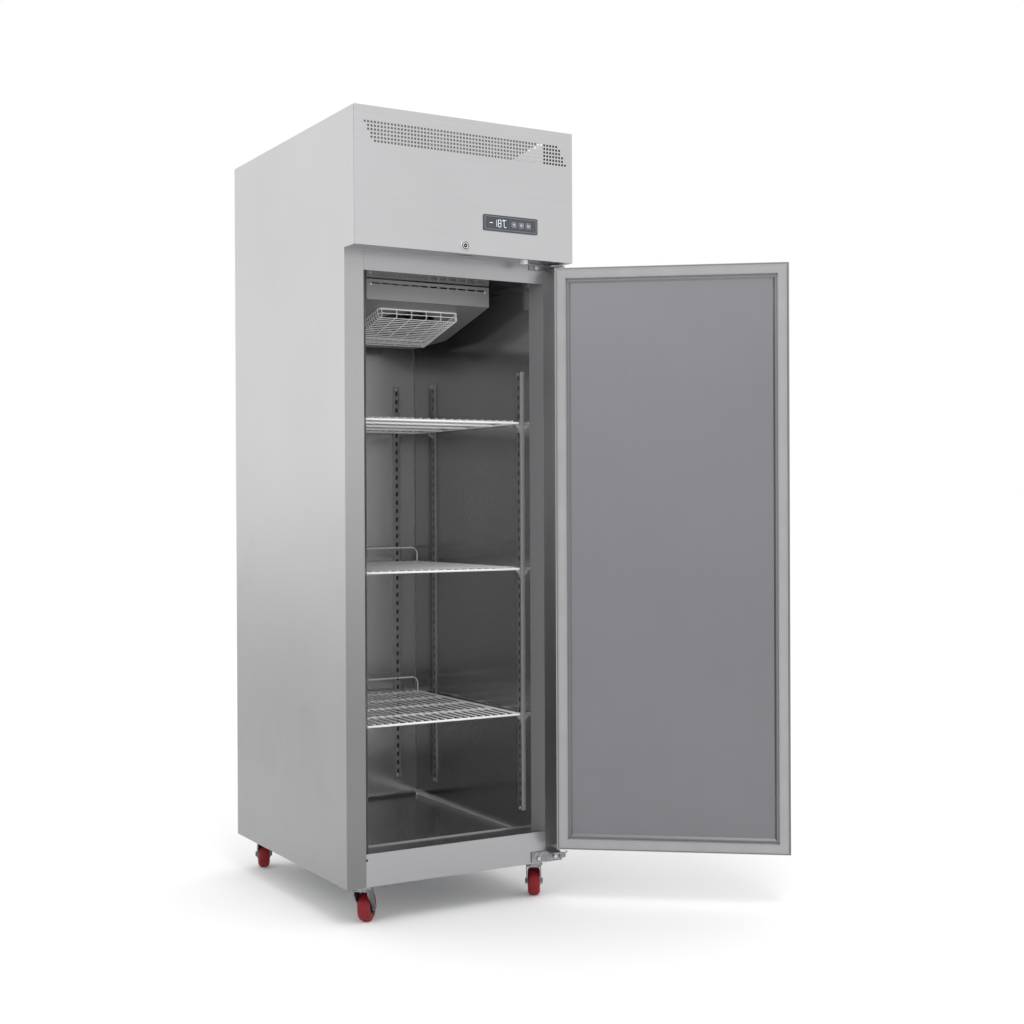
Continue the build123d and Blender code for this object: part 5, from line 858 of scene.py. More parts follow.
class Bench:
    """Edit-mode tools that the sub-assemblies share."""

    def __init__(self, shop: Paintshop) -> None:
        """Keep the paint shop for finished pieces."""
        self.shop = shop

    def clear(self) -> None:
        """Deselect everything, so that an operator acts on the new primitive alone."""
        bpy.ops.object.select_all(action="DESELECT")

    def take(self, piece: Piece) -> None:
        """Make a piece the active one and the only one that is selected.

        Args:
            piece: The piece.
        """
        self.clear()
        piece.select_set(True)
        bpy.context.view_layer.objects.active = piece

    def settle(self, name: str, scale: Sequence[float] = (1.0, 1.0, 1.0)) -> Piece:
        """Name a new primitive and put its place, turn and scale into its mesh.

        Args:
            name: Name of the piece.
            scale: Its scale.

        Returns:
            The piece.
        """
        piece = bpy.context.object
        piece.name = name
        piece.scale = scale
        bpy.ops.object.transform_apply(location=True, rotation=True, scale=True)
        return piece

    @contextmanager
    def picked(self, piece: Piece, want: Callable[..., bool], element: Element = Element.FACE
               ) -> Iterator[None]:
        """Stay in edit mode with some of a piece's faces, edges or vertices selected.

        Args:
            piece: The active piece.
            want: Test that picks an element by its place or normal.
            element: What is picked.

        Yields:
            Nothing: the operators inside the block act on what is selected.
        """
        bpy.ops.object.mode_set(mode="EDIT")
        bpy.ops.mesh.select_mode(type=element.name)
        bpy.ops.mesh.select_all(action="DESELECT")
        bpy.ops.object.mode_set(mode="OBJECT")
        for item in getattr(piece.data, element.value):
            item.select = want(item)
        bpy.ops.object.mode_set(mode="EDIT")
        yield
        bpy.ops.object.mode_set(mode="OBJECT")

    def block(self, name: str, low: Point, high: Point, bevel: float = 0.0, segments: int = 2) -> Piece:
        """Box between two corners with its edges rounded.

        Args:
            name: Name of the piece.
            low: Lowest corner.
            high: Highest corner.
            bevel: Radius of the edges.
            segments: Steps in each rounded edge.

        Returns:
            The new object, with its place in its mesh.
        """
        self.clear()
        middle = [(a + b) / 2 for a, b in zip(low, high)]
        bpy.ops.mesh.primitive_cube_add(size=1.0, location=middle)
        piece = self.settle(name, [b - a for a, b in zip(low, high)])
        if bevel > 0:
            with self.picked(piece, lambda edge: True, Element.EDGE):
                bpy.ops.mesh.bevel(offset=bevel, segments=segments, affect="EDGES")
        return piece

    def disc(self, name: str, centre: Point, radius: float, depth: float, sides: int, bevel: float
             ) -> Piece:
        """Short cylinder that faces the front, with its outer rim rounded.

        Args:
            name: Name of the piece.
            centre: Middle of its base.
            radius: Its radius.
            depth: How far it stands out from its base.
            sides: Number of sides.
            bevel: Radius of the outer rim.

        Returns:
            The new object, with its place in its mesh.
        """
        self.clear()
        way = Vector(FORWARD)
        bpy.ops.mesh.primitive_cylinder_add(vertices=sides, radius=radius, depth=depth,
                                            location=Vector(centre) + way * (depth / 2),
                                            rotation=way.to_track_quat("Z", "Y").to_euler())
        piece = self.settle(name)
        with self.picked(piece, lambda face: face.normal.dot(way) > SQUARELY):
            bpy.ops.mesh.bevel(offset=bevel, segments=3, affect="EDGES")
        return piece

    def wire(self, name: str, points: Sequence[Point], radius: float, closed: bool = False,
             sides: int = 2, corner: float = 0.0, steps: int = 5) -> Piece:
        """Drawn wire, bent round the corners of its path.

        Args:
            name: Name of the piece.
            points: The points or corners of its middle line.
            radius: Its radius.
            closed: True for a closed ring.
            sides: Steps in each half of its round section.
            corner: Radius of each bend, or 0 where the points are followed as they are.
            steps: Steps round each bend.

        Returns:
            The wire as a mesh.
        """
        if corner > 0:
            points = rounded_path(points, corner, steps, closed)
        self.clear()
        bpy.ops.curve.primitive_nurbs_path_add()
        piece = bpy.context.object
        piece.name = name
        line = piece.data
        line.splines.clear()
        spline = line.splines.new("POLY")
        spline.points.add(len(points) - 1)
        for point, place in zip(spline.points, points):
            point.co = (*place, 1.0)
        spline.use_cyclic_u = closed
        line.bevel_depth = radius
        line.bevel_resolution = sides
        line.use_fill_caps = not closed
        piece.matrix_world = Matrix.Identity(4)
        bpy.ops.object.convert(target="MESH")
        return bpy.context.object

    def thicken(self, piece: Piece, wall: float, offset: float = -1.0) -> None:
        """Give an open sheet its wall.

        Args:
            piece: The sheet.
            wall: Its thickness.
            offset: The side it grows to, from -1 inwards to 1 outwards.
        """
        self.take(piece)
        solid = piece.modifiers.new("wall", "SOLIDIFY")
        solid.thickness = wall
        solid.offset = offset
        bpy.ops.object.modifier_apply(modifier=solid.name)

    def repeat(self, piece: Piece, places: Sequence[Matrix], name: str) -> Piece:
        """Copies of one modelled piece, joined into one object.

        Args:
            piece: The piece, modelled round the origin.
            places: Where each copy goes.
            name: Name of the joined object.

        Returns:
            The joined object.
        """
        copies = []
        for place in places:
            copy = piece.copy()
            copy.data = piece.data.copy()
            bpy.context.scene.collection.objects.link(copy)
            copy.data.transform(place)
            copies.append(copy)
        bpy.data.objects.remove(piece)
        return self.join(copies, name)

    def join(self, pieces: Sequence[Piece], name: str) -> Piece:
        """Join objects into one.

        Args:
            pieces: The objects.
            name: Name of the joined object.

        Returns:
            The joined object.
        """
        self.take(pieces[0])
        for piece in pieces:
            piece.select_set(True)
        if len(pieces) > 1:
            bpy.ops.object.join()
        joined = bpy.context.object
        joined.name = name
        return joined

    def finish(self, piece: Piece, finish: Finish, slot: str, body: str, angle: float | None = 40.0
               ) -> Piece:
        """Smooth, paint and mount a finished piece.

        Args:
            piece: The piece.
            finish: Its finish.
            slot: The record's material slot that it belongs to. It is not used.
            body: The body it rides on.
            angle: Smoothing angle in degrees, or None to leave the facets.

        Returns:
            The same piece.
        """
        self.take(piece)
        if angle is not None:
            bpy.ops.object.shade_smooth_by_angle(angle=math.radians(angle))
        piece.data.transform(Matrix.Translation(ORIGIN))
        self.shop.paint(piece, finish)
        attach(piece, body)
        return piece


# Sub-assemblies


@dataclass
class ControllerFace:
    """Window, lit reading, bright frame line and key marks on the controller.

    Places across the face are measured from its left end, and heights from its middle line.
    """

    bench: Bench
    left: float = 0.044
    face_y: float = -0.064
    middle_z: float = 1.7478
    corner: float = 0.003
    window: tuple[Pair, Pair] = ((0.0105, -0.0145), (0.0700, 0.0145))
    window_depth: Pair = (-0.0003, 0.0002)
    window_lip: Pair = (0.0006, 0.0002)
    window_step: float = 0.0001
    digit_height: float = 0.0178
    digit_width: float = 0.0072
    stroke: float = 0.0011
    level_cut: float = 0.5
    upright_cut: float = 0.35
    bar_depth: Pair = (-0.0007, -0.0001)
    dash: tuple[float, float, float] = (0.0222, 0.0086, 0.0013)
    degree: Pair = (0.0572, 0.0083)
    degree_radius: float = 0.0016
    degree_wire: float = 0.0005
    line: tuple[Pair, Pair] = ((0.0045, -0.0160), (0.1545, 0.0160))
    line_radius: float = 0.0005
    ring_half: float = 0.0066
    ring_radius: float = 0.00035
    key_places: tuple[float, ...] = (0.0886, 0.1103, 0.1310)
    arrow_radius: float = 0.0030
    mark_depth: Pair = (-0.00065, -0.00035)
    mark_bar: Pair = (0.0056, 0.0012)
    mark_gap: float = 0.0013

    GLYPHS = {"1": "bc", "8": "abcdefg", "C": "adef"}
    READING = (("1", 0.0346), ("8", 0.0468), ("C", 0.0632))

    def _plate(self, name: str, low: Pair, high: Pair, depth: Pair, bevel: float, segments: int) -> Piece:
        """Thin plate on the face.

        Args:
            name: Name of the piece.
            low: Its lower left corner on the face.
            high: Its upper right corner.
            depth: Its front and back, from the face.
            bevel: Radius of its edges.
            segments: Steps in each rounded edge.

        Returns:
            The plate.
        """
        corners = [(self.left + x, self.face_y + y, self.middle_z + z)
                   for (x, z), y in zip((low, high), depth)]
        return self.bench.block(name, *corners, bevel=bevel, segments=segments)

    def _outline(self, name: str, low: Pair, high: Pair, radius: float, sides: int) -> Piece:
        """Fine rounded frame on the face.

        Args:
            name: Name of the piece.
            low: Its lower left corner on the face.
            high: Its upper right corner.
            radius: Radius of its line.
            sides: Steps in each half of the line's section.

        Returns:
            The frame.
        """
        ring = [(self.left + x, self.face_y, self.middle_z + z)
                for x, z in (low, (high[0], low[1]), high, (low[0], high[1]))]
        return self.bench.wire(name, ring, radius, closed=True, sides=sides, corner=self.corner)

    def _bar(self, x: float, z: float, wide: float, tall: float) -> Piece:
        """One lit bar round a point of the face: a flat block with its corners taken off."""
        low, high = (x - wide / 2, z - tall / 2), (x + wide / 2, z + tall / 2)
        return self._plate("bar", low, high, self.bar_depth, bevel=0.00025, segments=1)

    def _glyph(self, text: str, x: float) -> list[Piece]:
        """Seven-segment glyph.

        Args:
            text: One of the glyphs.
            x: Where its middle is along the face.

        Returns:
            Its lit bars.
        """
        half, quarter, side = self.digit_height / 2, self.digit_height / 4, self.digit_width / 2
        level = (self.digit_width - self.stroke * self.level_cut, self.stroke)
        upright = (self.stroke, half - self.stroke * self.upright_cut)
        spots = {
            "a": (0.0, half, *level), "g": (0.0, 0.0, *level), "d": (0.0, -half, *level),
            "f": (-side, quarter, *upright), "b": (side, quarter, *upright),
            "e": (-side, -quarter, *upright), "c": (side, -quarter, *upright),
        }
        chosen = [spots[segment] for segment in self.GLYPHS[text]]
        return [self._bar(x + across, above, wide, tall) for across, above, wide, tall in chosen]

    def pane(self) -> Piece:
        """Dark glossy window with a fine step round it.

        Returns:
            The window.
        """
        pane = self._plate("display_window", *self.window, self.window_depth, bevel=0.00015, segments=2)
        with self.bench.picked(pane, lambda face: face.normal.y < -SQUARELY):
            bpy.ops.mesh.inset(thickness=self.window_lip[0], depth=0.0)
            bpy.ops.mesh.inset(thickness=self.window_lip[1], depth=-self.window_step)
        return self.bench.finish(pane, Finish.DISPLAY, "black_plastic", "fascia")

    def reading(self) -> Piece:
        """The lit reading: a dash, two digits, a small ring and a C.

        Returns:
            The reading.
        """
        place, wide, tall = self.dash
        bars = [self._bar(place, 0.0, wide, tall)]
        for text, x in self.READING:
            bars += self._glyph(text, x)
        across, above = self.degree
        centre = (self.left + across, self.face_y + sum(self.bar_depth) / 2, self.middle_z + above)
        bars.append(self.bench.wire("degree", circle(centre, self.degree_radius, 12), self.degree_wire,
                                    closed=True, sides=1))
        reading = self.bench.join(bars, "display_reading")
        return self.bench.finish(reading, Finish.DIGITS, "white_plastic", "fascia", angle=None)

    def frame_line(self) -> Piece:
        """Bright line of the bezel's inner edge."""
        line = self._outline("bezel_line", *self.line, self.line_radius, sides=2)
        return self.bench.finish(line, Finish.BEZEL_LINE, "bright_metal", "fascia", angle=60.0)

    def key_rings(self) -> Piece:
        """Fine rounded outline round each key.

        Returns:
            The outlines.
        """
        half = self.ring_half
        rings = [self._outline("ring", (x - half, -half), (x + half, half), self.ring_radius, sides=1)
                 for x in self.key_places]
        joined = self.bench.join(rings, "key_outlines")
        return self.bench.finish(joined, Finish.PRINT, "grey_plastic", "fascia", angle=60.0)

    def _arrow(self, x: float, tip: float) -> Piece:
        """Three-sided mark on a key.

        Args:
            x: Where the key is along the face.
            tip: 1 where it points up, -1 where it points down.

        Returns:
            The mark.
        """
        front, back = self.mark_depth
        self.bench.clear()
        bpy.ops.mesh.primitive_cylinder_add(vertices=3, radius=self.arrow_radius, depth=back - front)
        arrow = bpy.context.object
        place = (self.left + x, self.face_y + (front + back) / 2, self.middle_z)
        arrow.data.transform(turned(place, FORWARD, (0.0, 0.0, tip)))
        return arrow

    def _bars(self, x: float) -> list[Piece]:
        """A bar over a bar on a key.

        Args:
            x: Where the key is along the face.

        Returns:
            The two bars.
        """
        wide, tall = self.mark_bar
        return [self._plate("bar", (x - wide / 2, z - tall / 2), (x + wide / 2, z + tall / 2),
                            self.mark_depth, bevel=0.0001, segments=1)
                for z in (-self.mark_gap, self.mark_gap)]

    def key_marks(self) -> list[Piece]:
        """A plain mark on each key: a lowered arrow, a raised arrow and a bar over a bar.

        Returns:
            The three marks.
        """
        first, second, third = self.key_places
        shapes = ([self._arrow(first, -1.0)], [self._arrow(second, 1.0)], self._bars(third))
        marks = []
        for number, parts in enumerate(shapes, start=1):
            mark = self.bench.join(parts, f"key_mark_{number}")
            marks.append(self.bench.finish(mark, Finish.PRINT, "grey_plastic", f"key_{number}", angle=None))
        return marks

    def build(self) -> list[Piece]:
        """Model the controller's face and return its pieces."""
        return [self.pane(), self.reading(), self.frame_line(), self.key_rings(), *self.key_marks()]


@dataclass
class PilasterStrips:
    """Slotted channel strips that the shelf clips hook into."""

    bench: Bench
    width: float = 0.020
    depth: float = 0.006
    wall: float = 0.001
    slot_width: float = 0.0070
    bottom: float = 0.225
    top: float = 1.390
    rows: int = 93
    side_face: float = 0.230
    back_face: float = 0.700
    side_places: Pair = (0.083, 0.575)
    back_places: Pair = (-0.173, 0.173)
    # Painted shadow: front and back of the black plates behind the slots.
    shadow_plate_depth: Pair = (-0.0022, -0.0014)
    shadow_plate_margin: float = 0.002

    def seats(self, height: float, proud: float = 0.0) -> list[Matrix]:
        """Places of the six strips, each facing into the cabinet.

        Args:
            height: Height of the places.
            proud: How far they stand off the strips' webs.

        Returns:
            Their transforms.
        """
        places = [turned((side * (self.side_face - proud), y, height), (-side, 0.0, 0.0))
                  for side in SIDES for y in self.side_places]
        return places + [turned((x, self.back_face - proud, height), FORWARD) for x in self.back_places]

    def strip(self) -> Piece:
        """One strip round the origin: a channel facing +Z whose web has a row of slots.

        Returns:
            The strip.
        """
        bench, length = self.bench, self.top - self.bottom
        column, pitch = self.width / 3, length / self.rows
        bench.clear()
        bpy.ops.mesh.primitive_grid_add(x_subdivisions=3, y_subdivisions=self.rows, size=1.0)
        strip = bench.settle("strip", (self.width, length, 1.0))
        with bench.picked(strip, lambda vertex: abs(vertex.co.x) < column * 0.75, Element.VERT):
            bpy.ops.transform.resize(value=(self.slot_width / column, 1.0, 1.0))

        def is_slot(face: bpy.types.MeshPolygon) -> bool:
            """True for every second face of the middle column."""
            row = int((face.center.y + length / 2) / pitch)
            return abs(face.center.x) < column / 4 and row % 2 == 1

        def is_long_edge(edge: bpy.types.MeshEdge) -> bool:
            """True for the edges along the strip's two sides."""
            a, b = (strip.data.vertices[index].co for index in edge.vertices)
            return min(abs(a.x), abs(b.x)) > self.width / 2 - column / 8 and abs(a.y - b.y) > pitch / 2

        with bench.picked(strip, is_slot):
            bpy.ops.mesh.delete(type="FACE")
        with bench.picked(strip, is_long_edge, Element.EDGE):
            bpy.ops.mesh.extrude_region_move(TRANSFORM_OT_translate={"value": (0.0, 0.0, -self.depth)})
        bench.thicken(strip, self.wall)
        return strip

    def build(self) -> list[Piece]:
        """Model the six strips in place of the plain channels, with black plates behind their slots as
        painted shadow.

        Returns:
            The strips and the shadow plates.
        """
        places = self.seats((self.bottom + self.top) / 2)
        strips = self.bench.repeat(self.strip(), places, "pilaster_strips")
        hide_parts("pilasters")
        # Painted shadow: black plates behind the slots stand for the dark seen through them.
        half = (self.top - self.bottom) / 2 - self.shadow_plate_margin
        low, high = self.shadow_plate_depth
        blind = self.bench.block("blind", (-self.slot_width, -half, low), (self.slot_width, half, high),
                                 bevel=0.0002)
        shadow_plates = self.bench.repeat(blind, places, "strip_blinds")
        return [self.bench.finish(strips, Finish.STRIP_STEEL, "lining_steel", "cabinet", angle=20.0),
                self.bench.finish(shadow_plates, Finish.SHADOW, "black_plastic", "cabinet")]


@dataclass
class WireShelf:
    """Lift-out shelf of welded wire with a bent stop along its back."""

    bench: Bench
    node: str
    level: float
    half: float = 0.228
    front: float = 0.065
    back: float = 0.655
    frame_wire: float = 0.003
    grid_wire: float = 0.00175
    grid_wires: int = 19
    grid_seat: float = 0.85
    cross_bars: int = 3
    corner: float = 0.010
    stop_half: float = 0.215
    stop_height: float = 0.045
    stop_wire: float = 0.002
    stop_corner: float = 0.018
    stop_seat: float = 0.6

    def build(self) -> list[Piece]:
        """Model the frame, cross bars, grid and stop, in place of the shelf's plain wires.

        Returns:
            The shelf.
        """
        wire, thick = self.bench.wire, self.frame_wire
        edge, z = self.half - thick, self.level
        near, far = self.front + thick, self.back - thick
        ring = ((-edge, near, z), (edge, near, z), (edge, far, z), (-edge, far, z))
        wires = [wire("frame", ring, thick, closed=True, sides=3, corner=self.corner)]
        pitch = (far - near) / (self.cross_bars + 1)
        for index in range(1, self.cross_bars + 1):
            y = near + pitch * index
            wires.append(wire("bar", ((-edge, y, z), (edge, y, z)), thick, sides=3))
        top = z + thick + self.grid_wire * self.grid_seat
        spread = 2 * edge / (self.grid_wires + 1)
        for index in range(1, self.grid_wires + 1):
            x = -edge + spread * index
            wires.append(wire("grid", ((x, self.front, top), (x, self.back, top)), self.grid_wire))
        low, high, half = z + thick * self.stop_seat, z + self.stop_height, self.stop_half
        stop = ((-half, far, low), (-half, far, high), (half, far, high), (half, far, low))
        wires.append(wire("stop", stop, self.stop_wire, corner=self.stop_corner, steps=7))
        shelf = self.bench.join(wires, f"wire_{self.node}")
        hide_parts(self.node)
        return [self.bench.finish(shelf, Finish.WIRE, "shelf_wire", self.node, angle=60.0)]


@dataclass
class FanGuard:
    """Wire basket over the fan: bent cross wires and long wires welded to a rim."""

    bench: Bench
    place: Point = (-0.005, 0.3019, 1.5257)
    run: float = 0.245
    fall: float = 0.065
    half_width: float = 0.118
    half_length: float = 0.105
    depth: float = 0.025
    radius: float = 0.00125
    lift: float = 0.0015
    bend: float = 0.008
    rim_radius: float = 0.00225
    rim_corner: float = 0.010
    band_height: float = 0.01375
    band_share: float = 0.9984
    band_corner: float = 0.012
    cross_wires: int = 16
    long_wires: int = 6
    weld: float = 1.7

    def build(self) -> list[Piece]:
        """Model the basket round the origin, facing +Z, and turn it onto the housing's slope.

        Returns:
            The basket.
        """
        wire, radius, lift = self.bench.wire, self.radius, self.lift
        wide, long, deep = self.half_width - radius, self.half_length - radius, self.depth - radius
        rim = ((-wide, -long, lift), (wide, -long, lift), (wide, long, lift), (-wide, long, lift))
        band = [(x * self.band_share, y * self.band_share, self.band_height) for x, y, _ in rim]
        wires = [wire("rim", rim, self.rim_radius, closed=True, corner=self.rim_corner),
                 wire("band", band, radius, closed=True, corner=self.band_corner)]
        for index in range(self.cross_wires):
            y = (index / (self.cross_wires - 1) * 2 - 1) * (long - self.bend)
            path = ((-wide, y, lift), (-wide, y, deep), (wide, y, deep), (wide, y, lift))
            wires.append(wire("cross", path, radius, corner=self.bend))
        under = deep - self.weld * radius
        for index in range(self.long_wires):
            x = (index / (self.long_wires - 1) * 2 - 1) * (wide - self.bend)
            path = ((x, -long, lift), (x, -long, under), (x, long, under), (x, long, lift))
            wires.append(wire("long", path, radius, corner=self.bend))
        guard = self.bench.join(wires, "fan_basket")
        guard.data.transform(turned(self.place, (0.0, -self.fall, -self.run), (0.0, self.run, -self.fall)))
        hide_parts("fan_guard")
        return [self.bench.finish(guard, Finish.WIRE, "shelf_wire", "cabinet", angle=60.0)]


@dataclass
class Fasteners:
    """Screws of the back panel, the evaporator housing and the strips, and the kick panel's plug."""

    bench: Bench
    strips: PilasterStrips
    head: float = 0.0036
    rise: float = 0.0014
    crown: float = 0.00077
    recess: float = 0.0009
    recess_place: Pair = (0.00108, 0.000288)
    bite: float = 0.0001
    back_x: float = 0.29744
    back_y: float = 0.758
    back_low: float = 0.16
    back_pitch: float = 0.22
    back_rows: int = 9
    housing_places: tuple[Point, Point] = ((-0.168, 0.1499, 1.606), (0.168, 0.1499, 1.606))
    strip_heights: Pair = (0.2313, 1.3835)
    plug_place: Point = (-0.2560, 0.0008, 0.166)
    plug_radius: float = 0.0034
    plug_depth: float = 0.0009

    def screw(self) -> Piece:
        """Domed screw with a recess in its head, round the origin and facing +Z.

        Returns:
            The screw.
        """
        self.bench.clear()
        bpy.ops.mesh.primitive_cylinder_add(vertices=16, radius=self.head, depth=self.rise,
                                            location=(0.0, 0.0, self.rise / 2))
        screw = self.bench.settle("screw")
        with self.bench.picked(screw, lambda face: face.normal.z > SQUARELY):
            bpy.ops.mesh.bevel(offset=self.crown, segments=3, affect="EDGES")
        with self.bench.picked(screw, lambda face: face.normal.z > SQUARELY and len(face.vertices) > 8):
            bpy.ops.mesh.inset(thickness=self.recess_place[0], depth=0.0)
            bpy.ops.mesh.inset(thickness=self.recess_place[1], depth=-self.recess)
        return screw

    def row(self, name: str, places: Sequence[Matrix], finish: Finish = Finish.CHROME) -> Piece:
        """Screws at each place, joined and finished."""
        screws = self.bench.repeat(self.screw(), places, name)
        return self.bench.finish(screws, finish, "bright_metal", "cabinet")

    def plug(self) -> Piece:
        """Dark rubber plug in the kick panel.

        Returns:
            The plug.
        """
        plug = self.bench.disc("kick_plug", self.plug_place, self.plug_radius, self.plug_depth, sides=20,
                               bevel=0.0003)
        return self.bench.finish(plug, Finish.BLACK_RUBBER, "black_rubber", "cabinet")

    def build(self) -> list[Piece]:
        """Model every fixing.

        Returns:
            The rows of screws and the plug.
        """
        back = [turned((side * self.back_x, self.back_y, self.back_low + self.back_pitch * step), BACKWARD)
                for side in SIDES for step in range(self.back_rows)]
        housing = [turned(place, FORWARD) for place in self.housing_places]
        strips = [seat for height in self.strip_heights for seat in self.strips.seats(height, self.bite)]
        return [self.row("back_screws", back, Finish.ZINC), self.row("housing_screws", housing),
                self.row("strip_screws", strips), self.plug()]


@dataclass
class BackLouvres:
    """Pressed hoods over the air slots of the back panel, each open along its lower edge."""

    bench: Bench
    length: float = 0.200
    margin: float = 0.004
    spread: float = 0.240
    top: float = 1.950
    pitch: float = 0.028
    rows: int = 8
    height: float = 0.016
    raised: float = 0.00192
    reach: float = 0.006
    sheet: float = 0.0008
    face: float = 0.757
    taper: float = 0.97
    slope: float = 0.9

    def hood(self) -> Piece:
        """One hood round the origin, facing +Z, with its mouth at the lower edge.

        Returns:
            The hood.
        """
        bench, half, tall = self.bench, self.length / 2 + self.margin, self.height / 2
        hood = bench.block("hood", (-half, -tall, 0.0), (half, tall, self.reach))
        with bench.picked(hood, lambda face: face.normal.z > SQUARELY):
            bpy.ops.transform.resize(value=(self.taper, 1.0, 1.0))
        with bench.picked(hood, lambda spot: spot.co.z > self.reach / 2 and spot.co.y > 0, Element.VERT):
            bpy.ops.transform.translate(value=(0.0, -tall * self.slope, 0.0))
        with bench.picked(hood, lambda face: min(face.normal.z, face.normal.y) < -SQUARELY):
            bpy.ops.mesh.delete(type="FACE")
            bpy.ops.mesh.select_mode(type="EDGE")
            bpy.ops.mesh.select_all(action="SELECT")
            bpy.ops.mesh.region_to_loop()
            bpy.ops.mesh.select_all(action="INVERT")
            bpy.ops.mesh.bevel(offset=self.sheet, segments=2, affect="EDGES")
        bench.thicken(hood, self.sheet)
        return hood

    def build(self) -> list[Piece]:
        """Model one hood over each slot.

        Returns:
            The hoods, as one piece.
        """
        places = [turned((side * self.spread / 2, self.face, self.top + self.raised - row * self.pitch),
                         BACKWARD) for side in SIDES for row in range(self.rows)]
        hoods = self.bench.repeat(self.hood(), places, "louvre_hoods")
        return [self.bench.finish(hoods, Finish.ZINC, "galvanised", "cabinet", angle=25.0)]


@dataclass
class VentCloth:
    """Filter cloth behind the vent, cut at a slant where it ends, and a black board beside it as painted
    shadow.
    """

    bench: Bench
    back_y: float = -0.0606
    thickness: float = 0.0012
    left: float = -0.290
    right_low: float = 0.119
    right_high: float = 0.215
    low: float = 1.908
    high: float = 1.968
    cells: tuple[int, int] = (24, 6)
    quilts: int = 6
    puff: float = 0.00036
    hem: float = 0.0012
    hem_y: float = -0.05868
    hem_corner: float = 0.004
    # Painted shadow: a black board behind the vent's right end.
    blind: tuple[Point, Point] = ((0.222, -0.0606, 1.904), (0.290, -0.0596, 1.970))

    def cloth(self) -> Piece:
        """Quilted sheet with its wall.

        Returns:
            The sheet.
        """
        self.bench.clear()
        across_cells, up_cells = self.cells
        bpy.ops.mesh.primitive_grid_add(x_subdivisions=across_cells, y_subdivisions=up_cells, size=1.0)
        cloth = self.bench.settle("cloth")
        for vertex in cloth.data.vertices:
            across, up = vertex.co.x + 0.5, vertex.co.y + 0.5
            right = self.right_low + (self.right_high - self.right_low) * up
            puff = self.puff * math.sin(across * math.tau * self.quilts) * math.sin(up * math.pi)
            vertex.co = (self.left + (right - self.left) * across, self.back_y + self.thickness + puff,
                         self.low + (self.high - self.low) * up)
        self.bench.thicken(cloth, self.thickness, offset=0.0)
        return cloth

    def build(self) -> list[Piece]:
        """Model the cloth with its hem, and the shadow plate.

        Returns:
            The cloth and the shadow plate.
        """
        bench, y = self.bench, self.hem_y
        edge = ((self.left, y, self.low), (self.right_low, y, self.low), (self.right_high, y, self.high),
                (self.left, y, self.high))
        hem = bench.wire("hem", edge, self.hem, closed=True, corner=self.hem_corner)
        joined = bench.join([self.cloth(), hem], "vent_filter_cloth")
        board = bench.block("vent_blind", *self.blind, bevel=0.0003)
        return [bench.finish(joined, Finish.FILTER_CLOTH, "black_rubber", "fascia", angle=50.0),
                bench.finish(board, Finish.SHADOW, "black_plastic", "fascia")]


@dataclass
class LockFace:
    """Bright ring round the keyway, with a painted shadow line round it and the turning plug in its middle,
    black as painted shade.
    """

    bench: Bench
    centre: Point = (-0.008, -0.0645, 1.684)
    ring: float = 0.0064
    ring_wire: float = 0.0015
    # Painted shadow: the dark line round the ring.
    line: float = 0.0083
    shadow_line_wire: float = 0.0010
    plug: float = 0.0050
    plug_y: float = -0.0643
    pin: float = 0.0015
    pin_y: float = -0.0648
    thickness: float = 0.0006

    def build(self) -> list[Piece]:
        """Model the painted shadow line, the ring, the plug and its pin.

        Returns:
            The four pieces.
        """
        bench, (x, _, z) = self.bench, self.centre
        line = bench.wire("lock_line", circle(self.centre, self.line, 32), self.shadow_line_wire, closed=True)
        ring = bench.wire("lock_ring", circle(self.centre, self.ring, 32), self.ring_wire, closed=True,
                          sides=3)
        plug = bench.disc("lock_plug", (x, self.plug_y, z), self.plug, self.thickness, 28, bevel=0.0002)
        pin = bench.disc("lock_pin", (x, self.pin_y, z), self.pin, self.thickness, 16, bevel=0.0003)
        # Painted shadow: the line round the ring and the plug in its middle are black.
        return [bench.finish(line, Finish.SHADOW, "black_plastic", "fascia", angle=60.0),
                bench.finish(ring, Finish.CHROME, "bright_metal", "fascia", angle=60.0),
                bench.finish(plug, Finish.SHADOW, "black_plastic", "lock_tongue"),
                bench.finish(pin, Finish.CHROME, "bright_metal", "lock_tongue")]


@dataclass
class Seams:
    """Dark beads where the stiles meet kick panel and header, as painted shadow of those seams, and beads
    in the lining's rear corners.
    """

    bench: Bench
    stile: Pair = (0.258, 0.0013)
    stile_spans: tuple[Pair, Pair] = ((0.102, 0.180), (1.616, 1.662))
    stile_bead: float = 0.0014
    corner: Pair = (0.2354, 0.7054)
    corner_spans: tuple[Pair, ...] = ((0.190, 1.616),)
    corner_bead: float = 0.0012

    def beads(self, name: str, place: Pair, spans: Sequence[Pair], radius: float) -> Piece:
        """Upright beads at the same place on the left and on the right.

        Args:
            name: Name of the piece.
            place: Distance from the middle plane, and Y.
            spans: Lowest and highest point of each bead.
            radius: Radius of the beads.

        Returns:
            The beads, as one piece.
        """
        x, y = place
        beads = [self.bench.wire("bead", ((side * x, y, low), (side * x, y, high)), radius)
                 for side in SIDES for low, high in spans]
        return self.bench.join(beads, name)

    def build(self) -> list[Piece]:
        """Model the painted seam shadows and the corner beads.

        Returns:
            The two pieces.
        """
        # Painted shadow: dark beads along the seams of the stiles.
        seams = self.beads("seam_beads", self.stile, self.stile_spans, self.stile_bead)
        folds = self.beads("lining_corner_beads", self.corner, self.corner_spans, self.corner_bead)
        return [self.bench.finish(seams, Finish.SEALANT, "black_rubber", "cabinet", angle=60.0),
                self.bench.finish(folds, Finish.STRIP_STEEL, "lining_steel", "cabinet", angle=60.0)]


